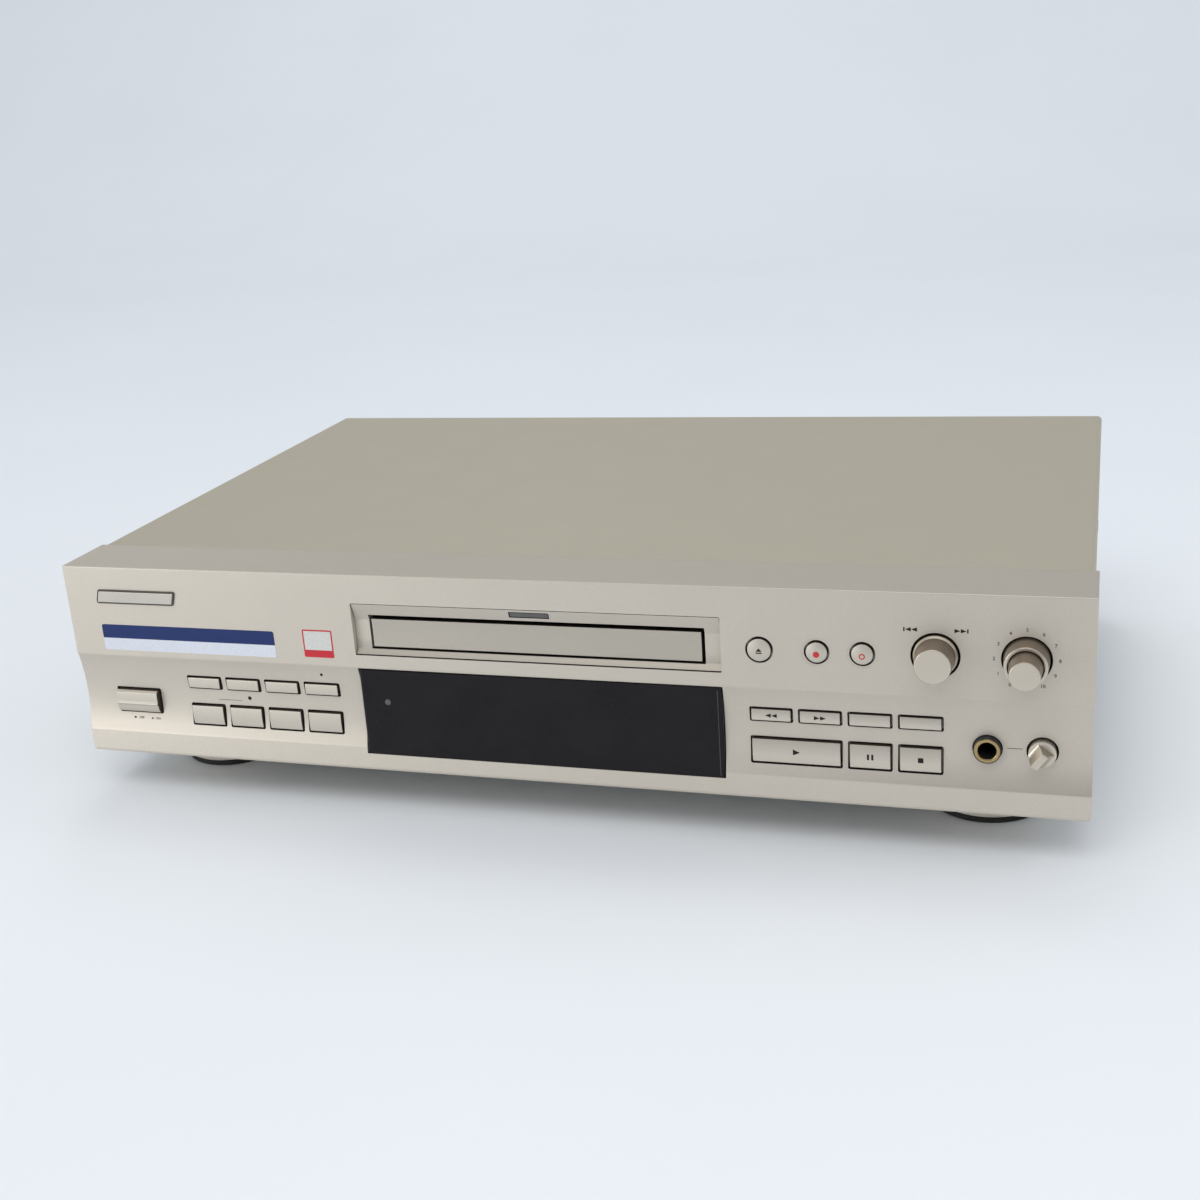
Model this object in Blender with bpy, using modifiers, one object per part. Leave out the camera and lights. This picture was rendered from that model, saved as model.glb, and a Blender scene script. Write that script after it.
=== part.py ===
"""A hi-fi component with a motor-driven disc tray: a disc recorder, 420 mm wide.

Frame: metres, +Z up, X to the right as the user faces the front, +Y towards the rear.
The origin is on the floor, at the middle of the footprint with its knobs and rear sockets.
"""

import math

import bmesh
import bpy
from mathutils import Matrix, Vector

# ------------------------------------------------------------------ driving dimensions, mm
WIDTH = 420.0            # front panel
HEIGHT = 105.0           # top of the cover above the floor
YF = -132.5              # plane of the front panel's upper face
BODY_DEPTH = 278.0       # from that plane to the rear panel
YB = YF + BODY_DEPTH
PANEL_H = 86.2           # height of the front panel
Z_BOTTOM = HEIGHT - PANEL_H
PANEL_WRAP = 30.5        # how far the front panel wraps back over the body
WALL = 2.5               # front panel wall
COVER_W = 417.4
SHEET = 1.0              # steel sheet
SLOT_GAP = 0.6           # clearance round a push button
TOUCH = 0.3              # gap left between pieces that touch
FLOOR_TOP = Z_BOTTOM + SHEET + TOUCH                  # where a piece stands on the chassis floor

BEZEL_X, BEZEL_TOP, BEZEL_LOW = 76.0, 12.2, 34.4      # opening for the tray surround
DOOR_X, DOOR_TOP, DOOR_LOW = 69.5, 17.5, 32.2         # opening for the tray door
WINDOW_X, WINDOW_TOP, WINDOW_LOW = 76.0, 40.3, 78.3   # display opening

TRAY_TRAVEL = 150.0
DISC_Y = YF + 88.0       # disc centre with the tray closed
TRAY_TOP, TRAY_FLOOR = 82.6, 77.0
RACK_LOW = 73.9
GEAR_MODULE, GEAR_TEETH = 1.25, 20
GEAR_X, GEAR_Y = -45.5, YF + 60.0
HINGE_Y, HINGE_Z = YF + 200.0, 63.5                   # pivot of the pick-up base
LENS_Y = DISC_Y + 25.0

FOOT_X, FOOT_FRONT_Y, FOOT_REAR_Y = 170.4, YF + 53.8, YB - 42.0

JACK_X, LEVEL_X, JACK_DOWN = 173.3, 192.6, 60.0
DIGITAL_X, ANALOG_X, KNOB_DOWN = 154.9, 186.55, 23.9
RECESS_R = 8.85          # opening that each input-level knob sinks into
PRESS, POWER_PRESS = 1.0, 3.0                         # travel of a button, and of the power key
SWITCH_H = 3.2           # height of a switch on its board

MM = 0.001


def up(down):
    """Height above the floor of a point this far below the top."""
    return HEIGHT - down


# ------------------------------------------------------------------ scene and materials
for old in list(bpy.data.objects):
    bpy.data.objects.remove(old, do_unlink=True)

parts = bpy.data.collections.new("disc_recorder")
cutters = bpy.data.collections.new("cutters")
cutters.hide_render = True
bpy.context.scene.collection.children.link(parts)
bpy.context.scene.collection.children.link(cutters)


def material(name, colour, roughness, metallic=0.0):
    m = bpy.data.materials.new(name)
    m.use_nodes = True
    shader = m.node_tree.nodes["Principled BSDF"]
    shader.inputs["Base Color"].default_value = (*colour, 1.0)
    shader.inputs["Roughness"].default_value = roughness
    shader.inputs["Metallic"].default_value = metallic
    m.diffuse_color = (*colour, 1.0)
    return m


CHAMPAGNE = material("champagne_plastic", (0.66, 0.61, 0.54), 0.42, 0.35)
COVER_PAINT = material("champagne_painted_steel", (0.50, 0.46, 0.38), 0.50, 0.4)
ZINC = material("zinc_plated_steel", (0.62, 0.63, 0.62), 0.35, 1.0)
SMOKED = material("smoked_acrylic", (0.012, 0.011, 0.013), 0.08)
BLACK = material("black_plastic", (0.02, 0.02, 0.02), 0.5)
RUBBER = material("black_rubber", (0.015, 0.015, 0.015), 0.8)
BOARD = material("circuit_board", (0.05, 0.20, 0.09), 0.45)
BRASS = material("gold_plated_brass", (0.80, 0.62, 0.28), 0.25, 1.0)
CORE = material("transformer_core", (0.10, 0.09, 0.08), 0.6, 0.3)
GREY = material("grey_plastic", (0.16, 0.16, 0.165), 0.5)
NATURAL = material("natural_plastic", (0.78, 0.77, 0.73), 0.5)
SHAFT = material("ground_steel", (0.70, 0.70, 0.70), 0.2, 1.0)
LAMP = material("lamp_lens", (0.13, 0.13, 0.14), 0.2)


# ------------------------------------------------------------------ small modelling kit
def finish(name, mesh, mat=None, at=(0, 0, 0), turn=(0, 0, 0), helper=False, parent=None):
    """Links a mesh as a named object at a place in mm, or as a hidden cutting or joining shape."""
    obj = bpy.data.objects.new(name, mesh)
    (cutters if helper else parts).objects.link(obj)
    obj.location = Vector(at) * MM
    obj.rotation_euler = turn
    if helper:
        obj.hide_render = True
        obj.display_type = "WIRE"
    elif mat:
        mesh.materials.append(mat)
    if parent:
        obj.parent = parent
        obj.matrix_parent_inverse = parent.matrix_world.inverted()
    return obj


def block(name, x, y, z, mat=None, origin=None, **more):
    """A box from ranges in mm. Its origin is its centre, or the point given."""
    lo, hi = Vector((x[0], y[0], z[0])), Vector((x[1], y[1], z[1]))
    at = Vector(origin) if origin else (lo + hi) / 2
    bm = bmesh.new()
    bmesh.ops.create_cube(bm, size=1.0)
    size = (hi - lo) * MM
    for v in bm.verts:
        v.co = Vector((v.co.x * size.x, v.co.y * size.y, v.co.z * size.z)) + ((lo + hi) / 2 - at) * MM
    mesh = bpy.data.meshes.new(name)
    bm.to_mesh(mesh)
    bm.free()
    return finish(name, mesh, mat, at, **more)


def blocks(name, ranges, **more):
    """Several separate boxes in one mesh, for a cutter."""
    bm = bmesh.new()
    for x, y, z in ranges:
        lo, hi = Vector((x[0], y[0], z[0])) * MM, Vector((x[1], y[1], z[1])) * MM
        made = bmesh.ops.create_cube(bm, size=1.0)["verts"]
        for v in made:
            v.co = Vector((v.co.x * (hi - lo).x, v.co.y * (hi - lo).y, v.co.z * (hi - lo).z)) + (lo + hi) / 2
    mesh = bpy.data.meshes.new(name)
    bm.to_mesh(mesh)
    bm.free()
    return finish(name, mesh, helper=True, **more)


def rods(name, ends, sides=16, mat=None, helper=True, origin=(0, 0, 0)):
    """Cylinders from (start, end, radius) in mm, all in one mesh."""
    bm = bmesh.new()
    for start, end, radius in ends:
        a, b = (Vector(start) - Vector(origin)) * MM, (Vector(end) - Vector(origin)) * MM
        turn = (b - a).to_track_quat("Z", "Y").to_matrix().to_4x4()
        bmesh.ops.create_cone(bm, cap_ends=True, segments=sides, radius1=radius * MM, radius2=radius * MM,
                              depth=(b - a).length, matrix=Matrix.Translation((a + b) / 2) @ turn)
    mesh = bpy.data.meshes.new(name)
    bm.to_mesh(mesh)
    bm.free()
    obj = finish(name, mesh, mat, at=origin, helper=helper)
    return obj


FACING = {  # turns the outline's own x, y and thickness onto the frame's axes
    "X": Matrix(((0, 0, 1), (1, 0, 0), (0, 1, 0))),     # outline in Y, Z; thick along X
    "Y": Matrix(((1, 0, 0), (0, 0, -1), (0, 1, 0))),    # outline in X, Z; thick along -Y
    "Z": Matrix.Identity(3),                            # outline in X, Y; thick along Z
}


def outline(name, points, axis, low, high, mat=None, origin=(0, 0, 0), **more):
    """A flat outline given thickness from low to high along an axis, all in mm."""
    curve = bpy.data.curves.new(name, "CURVE")
    curve.dimensions = "2D"
    curve.fill_mode = "BOTH"
    curve.extrude = (high - low) / 2 * MM
    spline = curve.splines.new("POLY")
    spline.points.add(len(points) - 1)
    for point, (u, v) in zip(spline.points, points):
        point.co = (u * MM, v * MM, 0, 1)
    spline.use_cyclic_u = True
    flat = bpy.data.objects.new(name + "_outline", curve)
    bpy.context.scene.collection.objects.link(flat)
    bpy.context.view_layer.update()
    solid = bpy.data.meshes.new_from_object(flat.evaluated_get(bpy.context.evaluated_depsgraph_get()))
    solid.name = name
    bm = bmesh.new()
    bm.from_mesh(solid)
    bmesh.ops.remove_doubles(bm, verts=bm.verts, dist=1e-6)
    way = {"X": Vector((1, 0, 0)), "Y": Vector((0, 1, 0)), "Z": Vector((0, 0, 1))}[axis]
    place = Matrix.Translation((way * (low + high) / 2 - Vector(origin)) * MM) @ FACING[axis].to_4x4()
    bmesh.ops.transform(bm, matrix=place, verts=bm.verts)
    bmesh.ops.recalc_face_normals(bm, faces=bm.faces)
    bm.to_mesh(solid)
    bm.free()
    bpy.data.objects.remove(flat)
    return finish(name, solid, mat, at=origin, **more)


def turned(name, profile, mat=None, at=(0, 0, 0), facing="Z", sides=24, closed=False, **more):
    """A lathe shape: (radius, height) in mm, run down the outer side. facing -Y points its top at the user."""
    bm = bmesh.new()
    made = [bm.verts.new((r * MM, 0, h * MM)) for r, h in profile]
    for a, b in zip(made, made[1:] + (made[:1] if closed else [])):
        if a is not b:
            bm.edges.new((a, b))
    mesh = bpy.data.meshes.new(name)
    bm.to_mesh(mesh)
    bm.free()
    obj = finish(name, mesh, mat, at=at, turn=(math.radians(90), 0, 0) if facing == "-Y" else (0, 0, 0), **more)
    screw = obj.modifiers.new("lathe", "SCREW")
    screw.axis = "Z"
    screw.steps = screw.render_steps = sides
    screw.use_merge_vertices = True
    screw.merge_threshold = 1e-6
    screw.use_smooth_shade = False
    return obj


def boolean(obj, other, operation):
    m = obj.modifiers.new(operation.lower() + "_" + other.name, "BOOLEAN")
    m.operation = operation
    m.object = other
    m.solver = "EXACT"
    return obj


def cut(obj, *others):
    for other in others:
        boolean(obj, other, "DIFFERENCE")
    return obj


def join(obj, *others):
    for other in others:
        boolean(obj, other, "UNION")
    return obj


def soften(obj, width, segments=1, angle=40):
    m = obj.modifiers.new("edges", "BEVEL")
    m.width = width * MM
    m.segments = segments
    m.limit_method = "ANGLE"
    m.angle_limit = math.radians(angle)
    return obj


def pivot(name, at):
    """An empty on a joint's axis."""
    e = bpy.data.objects.new(name, None)
    parts.objects.link(e)
    e.location = Vector(at) * MM
    bpy.context.view_layer.update()
    return e


def circle(x, y, r, n, start=0.0):
    return [(x + r * math.cos(start + 2 * math.pi * i / n), y + r * math.sin(start + 2 * math.pi * i / n)) for i in range(n)]


# ------------------------------------------------------------------ front panel shape
# How far the front face lies behind its upper plane, against the distance below the top.
SCOOP = [(0.0, 0.0), (39.5, 0.0), (43.0, 0.95), (47.0, 1.65), (51.0, 2.12), (55.0, 2.38), (59.0, 2.45),
         (63.0, 2.32), (67.0, 1.95), (70.5, 1.45), (73.5, 0.92), (75.5, 0.55), (76.0, 0.15), (83.9, 0.15)]
# The same for the dished tray surround.
DISH = [(12.2, 0.15), (14.0, 0.75), (17.6, 2.05), (21.0, 3.15), (24.0, 3.85), (26.5, 4.10), (29.0, 3.85),
        (31.8, 2.75), (33.2, 1.65), (34.4, 0.35)]


def along(table, at):
    """Linear reading of one of the two tables."""
    for (a, u), (b, v) in zip(table, table[1:]):
        if a <= at <= b:
            return u + (v - u) * (at - a) / (b - a)
    return table[-1][1]


def depth(down):
    return along(SCOOP, down)


face = [(YF + d, up(down)) for down, d in SCOOP]
outer = ([(YF + PANEL_WRAP, HEIGHT), (YF + 0.7, HEIGHT), (YF + 0.1, HEIGHT - 0.5)] + face[1:]
         + [(YF + 0.9, Z_BOTTOM + 0.7), (YF + 2.4, Z_BOTTOM), (YF + PANEL_WRAP, Z_BOTTOM)])
inner = ([(YF + PANEL_WRAP + 5, HEIGHT - 2.2), (YF + WALL, HEIGHT - 2.2)]
         + [(YF + d + WALL, up(down)) for down, d in SCOOP[1:-1]]
         + [(YF + WALL + 0.2, Z_BOTTOM + 2.2), (YF + PANEL_WRAP + 5, Z_BOTTOM + 2.2)])

front_panel = outline("front_panel", outer, "X", -WIDTH / 2, WIDTH / 2, CHAMPAGNE)
cut(front_panel, outline("panel_hollow", inner, "X", -WIDTH / 2 + 2.2, WIDTH / 2 - 2.2, helper=True))

# ------------------------------------------------------------------ push buttons
# name: (left, right, top, bottom) of its opening, mm across and below the top; how far the cap stands proud
RECT_BUTTONS = {
    "power_button": ((-194.4, -172.6, 55.4, 67.0), 2.4),
    "input_selector_button": ((-158.2, -141.7, 48.2, 54.4), 1.5),
    "monitor_button": ((-139.7, -123.2, 48.2, 54.4), 1.5),
    "time_button": ((-121.2, -104.7, 48.2, 54.4), 1.5),
    "display_off_button": ((-102.7, -86.2, 48.2, 54.4), 1.5),
    "auto_track_button": ((-158.2, -141.7, 61.0, 71.0), 1.6),
    "write_button": ((-139.7, -123.2, 61.0, 71.0), 1.6),
    "finalize_button": ((-121.2, -104.7, 61.0, 71.0), 1.6),
    "erase_button": ((-102.7, -86.2, 61.0, 71.0), 1.6),
    "search_back_button": ((85.7, 102.3, 48.2, 54.4), 1.5),
    "search_forward_button": ((104.2, 120.8, 48.2, 54.4), 1.5),
    "repeat_button": ((122.7, 139.3, 48.2, 54.4), 1.5),
    "synchro_button": ((141.2, 157.8, 48.2, 54.4), 1.5),
    "play_button": ((85.7, 120.8, 60.4, 71.4), 1.5),
    "pause_button": ((122.7, 139.3, 60.4, 71.4), 1.5),
    "stop_button": ((141.2, 157.8, 60.4, 71.4), 1.5),
}
# name: (centre across, centre below the top, opening radius), proud
ROUND_BUTTONS = {
    "eject_button": ((90.7, 24.4, 5.25), 1.2),
    "record_button": ((112.1, 24.4, 4.75), 1.2),
    "record_mute_button": ((128.8, 24.4, 4.75), 1.2),
}

through = []
for (x0, x1, top, low), _ in RECT_BUTTONS.values():
    through.append(((x0, x1), (YF - 3, YF + 9), (up(low), up(top))))
through.append(((-BEZEL_X, BEZEL_X), (YF - 3, YF + 9), (up(BEZEL_LOW), up(BEZEL_TOP))))
through.append(((-WINDOW_X, WINDOW_X), (YF - 3, YF + 9), (up(WINDOW_LOW), up(WINDOW_TOP))))
cut(front_panel, blocks("panel_openings", through))

bores = [((x, YF - 3, up(z)), (x, YF + 9, up(z)), r) for (x, z, r), _ in ROUND_BUTTONS.values()]
bores += [((JACK_X, YF - 3, up(JACK_DOWN)), (JACK_X, YF + 9, up(JACK_DOWN)), 5.4),
          ((LEVEL_X, YF - 3, up(JACK_DOWN)), (LEVEL_X, YF + 9, up(JACK_DOWN)), 5.5),
          ((DIGITAL_X, YF - 3, up(KNOB_DOWN)), (DIGITAL_X, YF + 9, up(KNOB_DOWN)), RECESS_R),
          ((ANALOG_X, YF - 3, up(KNOB_DOWN)), (ANALOG_X, YF + 9, up(KNOB_DOWN)), RECESS_R)]
cut(front_panel, rods("panel_bores", bores, sides=24))

BOARD_Y = YF + 14.0
studs = [((x, YF + 4.2, z), (x, BOARD_Y - TOUCH, z), 2.2)
         for x, z in ((-201.0, 52.0), (-166.0, 30.5), (203.0, 52.0), (165.5, 30.5), (203.0, 96.0), (84.0, 96.0))]
studs = [((x, YF + depth(HEIGHT - z) + WALL - 0.8, z), end, r) for (x, _, z), end, r in studs]
join(front_panel, rods("panel_studs", studs, sides=8))


def button(name, hole, proud):
    """A cap in its opening, a shoulder behind the panel wall that keeps it in, and a stem to its switch."""
    x0, x1, top, low = hole
    mid_x, mid_z = (x0 + x1) / 2, up((top + low) / 2)
    deep = max(depth(top), depth(low), depth((top + low) / 2))
    front = YF + (depth(top) + depth(low)) / 2 - proud
    shoulder = YF + deep + WALL + TOUCH
    g = SLOT_GAP
    cap = block(name, (x0 + g, x1 - g), (front, shoulder + 0.6), (up(low) + g, up(top) - g), CHAMPAGNE,
                origin=(mid_x, front, mid_z))
    soften(cap, 0.45)
    join(cap, block(name + "_shoulder", (x0 - 0.7, x1 + 0.7), (shoulder, shoulder + 1.3), (up(low) - 0.7, up(top) + 0.7), helper=True),
         block(name + "_stem", (mid_x - 1.5, mid_x + 1.5), (shoulder + 0.8, BOARD_Y - SWITCH_H - PRESS - TOUCH),
               (mid_z - 1.5, mid_z + 1.5), helper=True))
    return cap


for name, (hole, proud) in RECT_BUTTONS.items():
    if name == "power_button":
        # The power key stands proud with a ridge two thirds of the way down, and travels further.
        x0, x1, top, low = hole
        g = SLOT_GAP
        base = YF + 2.5 + WALL + TOUCH + 0.05
        ridge = [(YF + 1.2, up(top) - g), (YF - 0.2, up(top) - g - 1.2), (YF - 0.75, up(61.9)), (YF - 0.55, up(62.8)),
                 (YF + 0.15, up(low) + g + 0.9), (YF + 1.0, up(low) + g), (base + 0.6, up(low) + g), (base + 0.6, up(top) - g)]
        key = outline(name, ridge, "X", x0 + g, x1 - g, CHAMPAGNE, origin=((x0 + x1) / 2, YF, up((top + low) / 2)))
        join(key, block("power_shoulder", (x0 - 0.7, x1 + 0.7), (base, base + 1.3), (up(low) - 0.7, up(top) + 0.7), helper=True),
             block("power_stem", (-185.5, -181.5), (base + 0.8, BOARD_Y - SWITCH_H - POWER_PRESS - TOUCH), (up(63.2), up(59.2)), helper=True))
    else:
        button(name, hole, proud)

for name, ((x, z, r), proud) in ROUND_BUTTONS.items():
    back = WALL + TOUCH
    tip = -14.0 + SWITCH_H + PRESS + TOUCH
    g = SLOT_GAP
    turned(name, [(0, proud - 0.5), (r * 0.6, proud - 0.25), (r - g - 0.4, proud), (r - g, proud - 0.4), (r - g, -back),
                  (r + 0.9, -back), (r + 0.9, -back - 1.3), (1.8, -back - 1.3), (1.8, tip), (0, tip)],
           CHAMPAGNE, at=(x, YF, up(z)), facing="-Y", sides=20)

# ------------------------------------------------------------------ tray surround, window, display, lamp
dish = [(YF + d, up(down)) for down, d in DISH]
dish[0], dish[-1] = (dish[0][0], up(BEZEL_TOP + TOUCH)), (dish[-1][0], up(BEZEL_LOW - TOUCH))
tray_bezel = outline("tray_bezel", dish + [(YF + 6.5, up(BEZEL_LOW - TOUCH)), (YF + 6.5, up(BEZEL_TOP + TOUCH))], "X",
                     -BEZEL_X + TOUCH, BEZEL_X - TOUCH, CHAMPAGNE)
join(tray_bezel, block("bezel_flange", (-79, 79), (YF + WALL + TOUCH, YF + 6.0), (up(37.3), up(9.2)), helper=True))
cut(tray_bezel, block("door_opening", (-DOOR_X, DOOR_X), (YF - 5, YF + 12), (up(DOOR_LOW), up(DOOR_TOP)), helper=True),
    block("lamp_slot", (-8.3, 8.3), (YF - 5, YF + 12), (up(16.1), up(13.5)), helper=True))

block("tray_lamp_lens", (-8.0, 8.0), (YF + 0.6, YF + 9.0), (up(15.8), up(13.8)), LAMP)

window_front = YF - 0.15
display_window = block("display_window", (-WINDOW_X + TOUCH, WINDOW_X - TOUCH), (window_front, YF + 7.0),
                       (up(WINDOW_LOW - TOUCH), up(WINDOW_TOP + TOUCH)), SMOKED)
soften(display_window, 1.1)
join(display_window, block("window_flange", (-79, 79), (YF + 5.4, YF + 6.8), (up(81.4), up(37.9)), helper=True))
cut(display_window, block("window_back", (-72, 72), (YF + 2.4, YF + 9.0), (up(75.5), up(43.2)), helper=True))

display_module = block("display_module", (-56, 56), (YF + 8.2, YF + 13.0), (up(74.5), up(46.5)), GREY)
soften(display_module, 0.6)

# ------------------------------------------------------------------ knobs
digital_level_knob = turned(
    "digital_level_knob",
    [(0, 11.2), (6.1, 11.2), (6.5, 10.7), (7.3, 1.4), (7.75, 0.7), (7.95, 0.2), (7.95, -2.0), (3.0, -2.0), (3.0, -12.0), (0, -12.0)],
    CHAMPAGNE, at=(DIGITAL_X, YF, up(KNOB_DOWN)), facing="-Y")

analog_outer_knob = turned(
    "analog_outer_knob",
    [(7.2, 7.9), (7.6, 7.4), (8.2, -2.0), (3.8, -2.0), (3.8, -12.0), (2.6, -12.0), (2.6, 3.0), (6.4, 3.0), (6.4, 7.9)],
    CHAMPAGNE, at=(ANALOG_X, YF, up(KNOB_DOWN)), facing="-Y", closed=True)

analog_inner_knob = turned(
    "analog_inner_knob",
    [(0, 16.5), (4.9, 16.5), (5.35, 16.0), (5.9, 8.2), (5.9, 3.5), (2.2, 3.5), (2.2, -12.0), (0, -12.0)],
    CHAMPAGNE, at=(ANALOG_X, YF, up(KNOB_DOWN)), facing="-Y")

phones_level_knob = turned(
    "phones_level_knob",
    [(0, 0.4), (4.6, 0.4), (5.05, -0.1), (5.05, -6.0), (2.2, -6.0), (2.2, -12.2), (0, -12.2)],
    CHAMPAGNE, at=(LEVEL_X, YF, up(JACK_DOWN)), facing="-Y", sides=20)
# its grip is a bar across the face, pointing at the low end of its scale
a = math.radians(235)
ux, uz = math.cos(a), math.sin(a)
bar = [(-5.0, -1.3), (4.6, -1.15), (4.95, 0.0), (4.6, 1.15), (-5.0, 1.3)]
bar = [(LEVEL_X + u * ux - v * uz, up(JACK_DOWN) + u * uz + v * ux) for u, v in bar]
join(phones_level_knob, outline("level_grip", bar, "Y", YF - 6.5, YF + 0.6, helper=True))

# ------------------------------------------------------------------ headphone socket
jack_z = up(JACK_DOWN)
phones_jack = turned(
    "phones_jack",
    [(5.0, 0.3), (5.0, -8.5), (6.4, -8.5), (6.4, -32.0), (3.3, -32.0), (3.3, -3.0), (3.3, 0.0), (3.6, 0.3)],
    BLACK, at=(JACK_X, YF, jack_z), facing="-Y", sides=20, closed=True)
join(phones_jack, block("jack_body", (JACK_X - 7.5, JACK_X + 7.5), (YF + 29.0, YF + 34.0), (jack_z - 7.5, jack_z + 7.5), helper=True))

# ------------------------------------------------------------------ circuit board behind the front panel
front_board = block("front_circuit_board", (-204, 204), (BOARD_Y, BOARD_Y + 1.6), (26.0, 64.0), BOARD)
join(front_board, block("board_wing", (80.5, 204), (BOARD_Y, BOARD_Y + 1.6), (60.0, 100.0), helper=True))
cut(front_board, rods("board_hole", [((JACK_X, YF + 10, jack_z), (JACK_X, YF + 20, jack_z), 8.0)], sides=12))
switches = [((x0 + x1) / 2, up((top + low) / 2), 3.0) for (x0, x1, top, low), _ in RECT_BUTTONS.values()]
switches += [(x, up(z), 3.0) for (x, z, r), _ in ROUND_BUTTONS.values()]
switches[0] = (switches[0][0], switches[0][1], 5.0)
join(front_board, blocks("switches", [((x - h, x + h), (BOARD_Y - SWITCH_H, BOARD_Y + 0.4), (z - h, z + h)) for x, z, h in switches]))
# a potentiometer behind each knob, bored for its shaft
pots = [(DIGITAL_X, up(KNOB_DOWN), 6.5, 3.5, 6.5), (ANALOG_X, up(KNOB_DOWN), 6.5, 4.3, 6.5), (LEVEL_X, up(JACK_DOWN), 5.0, 2.7, 7.5)]
join(front_board, blocks("pot_bodies", [((x - h, x + h), (YF + front, BOARD_Y + 0.4), (z - h, z + h)) for x, z, h, r, front in pots]))
cut(front_board, rods("pot_bores", [((x, YF - 5, z), (x, BOARD_Y - 1.0, z), r) for x, z, h, r, front in pots], sides=14))

# ------------------------------------------------------------------ body shell
half = COVER_W / 2
R = 2.2
bends = []
for corner_x, corner_z, start in ((half - R, HEIGHT - R, 0.0), (-half + R, HEIGHT - R, math.pi / 2)):
    bends.append([(corner_x + R * math.cos(start + t * math.pi / 8), corner_z + R * math.sin(start + t * math.pi / 8)) for t in range(5)])
skin = [(half, 21.0)] + bends[0] + bends[1] + [(-half, 21.0)]
shell = bpy.data.meshes.new("top_cover")
bm = bmesh.new()
line = [bm.verts.new((x * MM, (YF + PANEL_WRAP + TOUCH) * MM, z * MM)) for x, z in skin]
edges = [bm.edges.new(pair) for pair in zip(line, line[1:])]
swept = bmesh.ops.extrude_edge_only(bm, edges=edges)["geom"]
bmesh.ops.translate(bm, vec=(0, (BODY_DEPTH - PANEL_WRAP - TOUCH) * MM, 0), verts=[g for g in swept if isinstance(g, bmesh.types.BMVert)])
bmesh.ops.recalc_face_normals(bm, faces=bm.faces)
bm.normal_update()
if max(bm.faces, key=lambda f: f.calc_center_median().z).normal.z < 0:
    bmesh.ops.reverse_faces(bm, faces=bm.faces)
bm.to_mesh(shell)
bm.free()
top_cover = finish("top_cover", shell, COVER_PAINT)
thick = top_cover.modifiers.new("sheet", "SOLIDIFY")
thick.thickness = SHEET * MM
thick.offset = -1.0
thick.use_even_offset = True

F0, F1 = YF + PANEL_WRAP + 0.6, YB - 1.3          # front and rear ends of the chassis tray
CX = 207.2
bottom_chassis = block("bottom_chassis", (-CX, CX), (F0, F1), (Z_BOTTOM, 60.0), ZINC)
cut(bottom_chassis,
    block("chassis_hollow", (-CX + SHEET, CX - SHEET), (F0 + SHEET, F1 - SHEET), (Z_BOTTOM + SHEET, 70.0), helper=True),
    block("chassis_side_trim", (-CX - 5, CX + 5), (F0 + SHEET + 0.01, F1 + 5), (31.0, 70.0), helper=True),
    block("front_flange_gap", (-62, 62), (F0 - 5, F0 + 5), (31.0, 70.0), helper=True),
    block("jack_flange_gap", (JACK_X - 9.5, JACK_X + 9.5), (F0 - 5, F0 + 5), (34.0, 70.0), helper=True))
vents = []
for row in range(2):
    for n in range(8):
        x = 70 + n * 12.0
        y = YB - 110 + row * 46.0
        vents.append(((x, x + 4.0), (y, y + 34.0), (Z_BOTTOM - 5, Z_BOTTOM + 5)))
cut(bottom_chassis, blocks("floor_vents", vents))
join(bottom_chassis, rods("board_posts", [((x, y, Z_BOTTOM + 0.4), (x, y, 29.7), 3.0)
                                          for x, y in ((86, YF + 62), (195, YF + 62), (86, YB - 26), (195, YB - 26))], sides=8))

RX = 207.0
rear_panel = block("rear_panel", (-RX, RX), (YB - SHEET, YB), (FLOOR_TOP, 103.4), ZINC)

# ------------------------------------------------------------------ rear sockets
RCA = [(104.0, 62.0), (104.0, 44.0), (140.0, 62.0), (140.0, 44.0), (158.0, 62.0), (158.0, 44.0)]
OPTICAL = [(80.0, 62.0), (80.0, 44.0)]
REAR_BOARD = YB - 15.0
jack_block = block("rear_jack_block", (68, 172), (REAR_BOARD, REAR_BOARD + 1.6), (33, 73), BOARD)
bodies = [block("rca_body_%d" % i, (x0, x1), (REAR_BOARD + 0.8, YB - 1.5), (36.5, 69.5), helper=True)
          for i, (x0, x1) in enumerate(((97.5, 110.5), (133.5, 164.5)))]
join(jack_block, *bodies)
join(jack_block, rods("rca_shells", [((x, YB - 4, z), (x, YB + 3.5, z), 4.1) for x, z in RCA], sides=16))
cut(jack_block, rods("rca_holes", [((x, YB - 5, z), (x, YB + 6, z), 1.6) for x, z in RCA], sides=8))
for i, (x, z) in enumerate(OPTICAL):
    join(jack_block, block("optical_body_%d" % i, (x - 5.6, x + 5.6), (REAR_BOARD + 0.8, YB + 1.0), (z - 5.6, z + 5.6), helper=True))
cut(jack_block, blocks("optical_recesses", [((x - 3.9, x + 3.9), (YB - 7.0, YB + 5), (z - 3.9, z + 3.9)) for x, z in OPTICAL]))

AC = (-172.0, 50.0)
inlet = block("ac_inlet", (AC[0] - 11.5, AC[0] + 11.5), (YB - 19.0, YB + 1.2), (AC[1] - 7.5, AC[1] + 7.5), BLACK)
cut(inlet, block("inlet_recess", (AC[0] - 7.8, AC[0] + 7.8), (YB - 13.0, YB + 5), (AC[1] - 4.3, AC[1] + 4.3), helper=True))
join(inlet, rods("inlet_pins", [((AC[0] + s * 4.3, YB - 14.0, AC[1]), (AC[0] + s * 4.3, YB - 3.0, AC[1]), 1.2) for s in (-1, 1)], sides=8))

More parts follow.
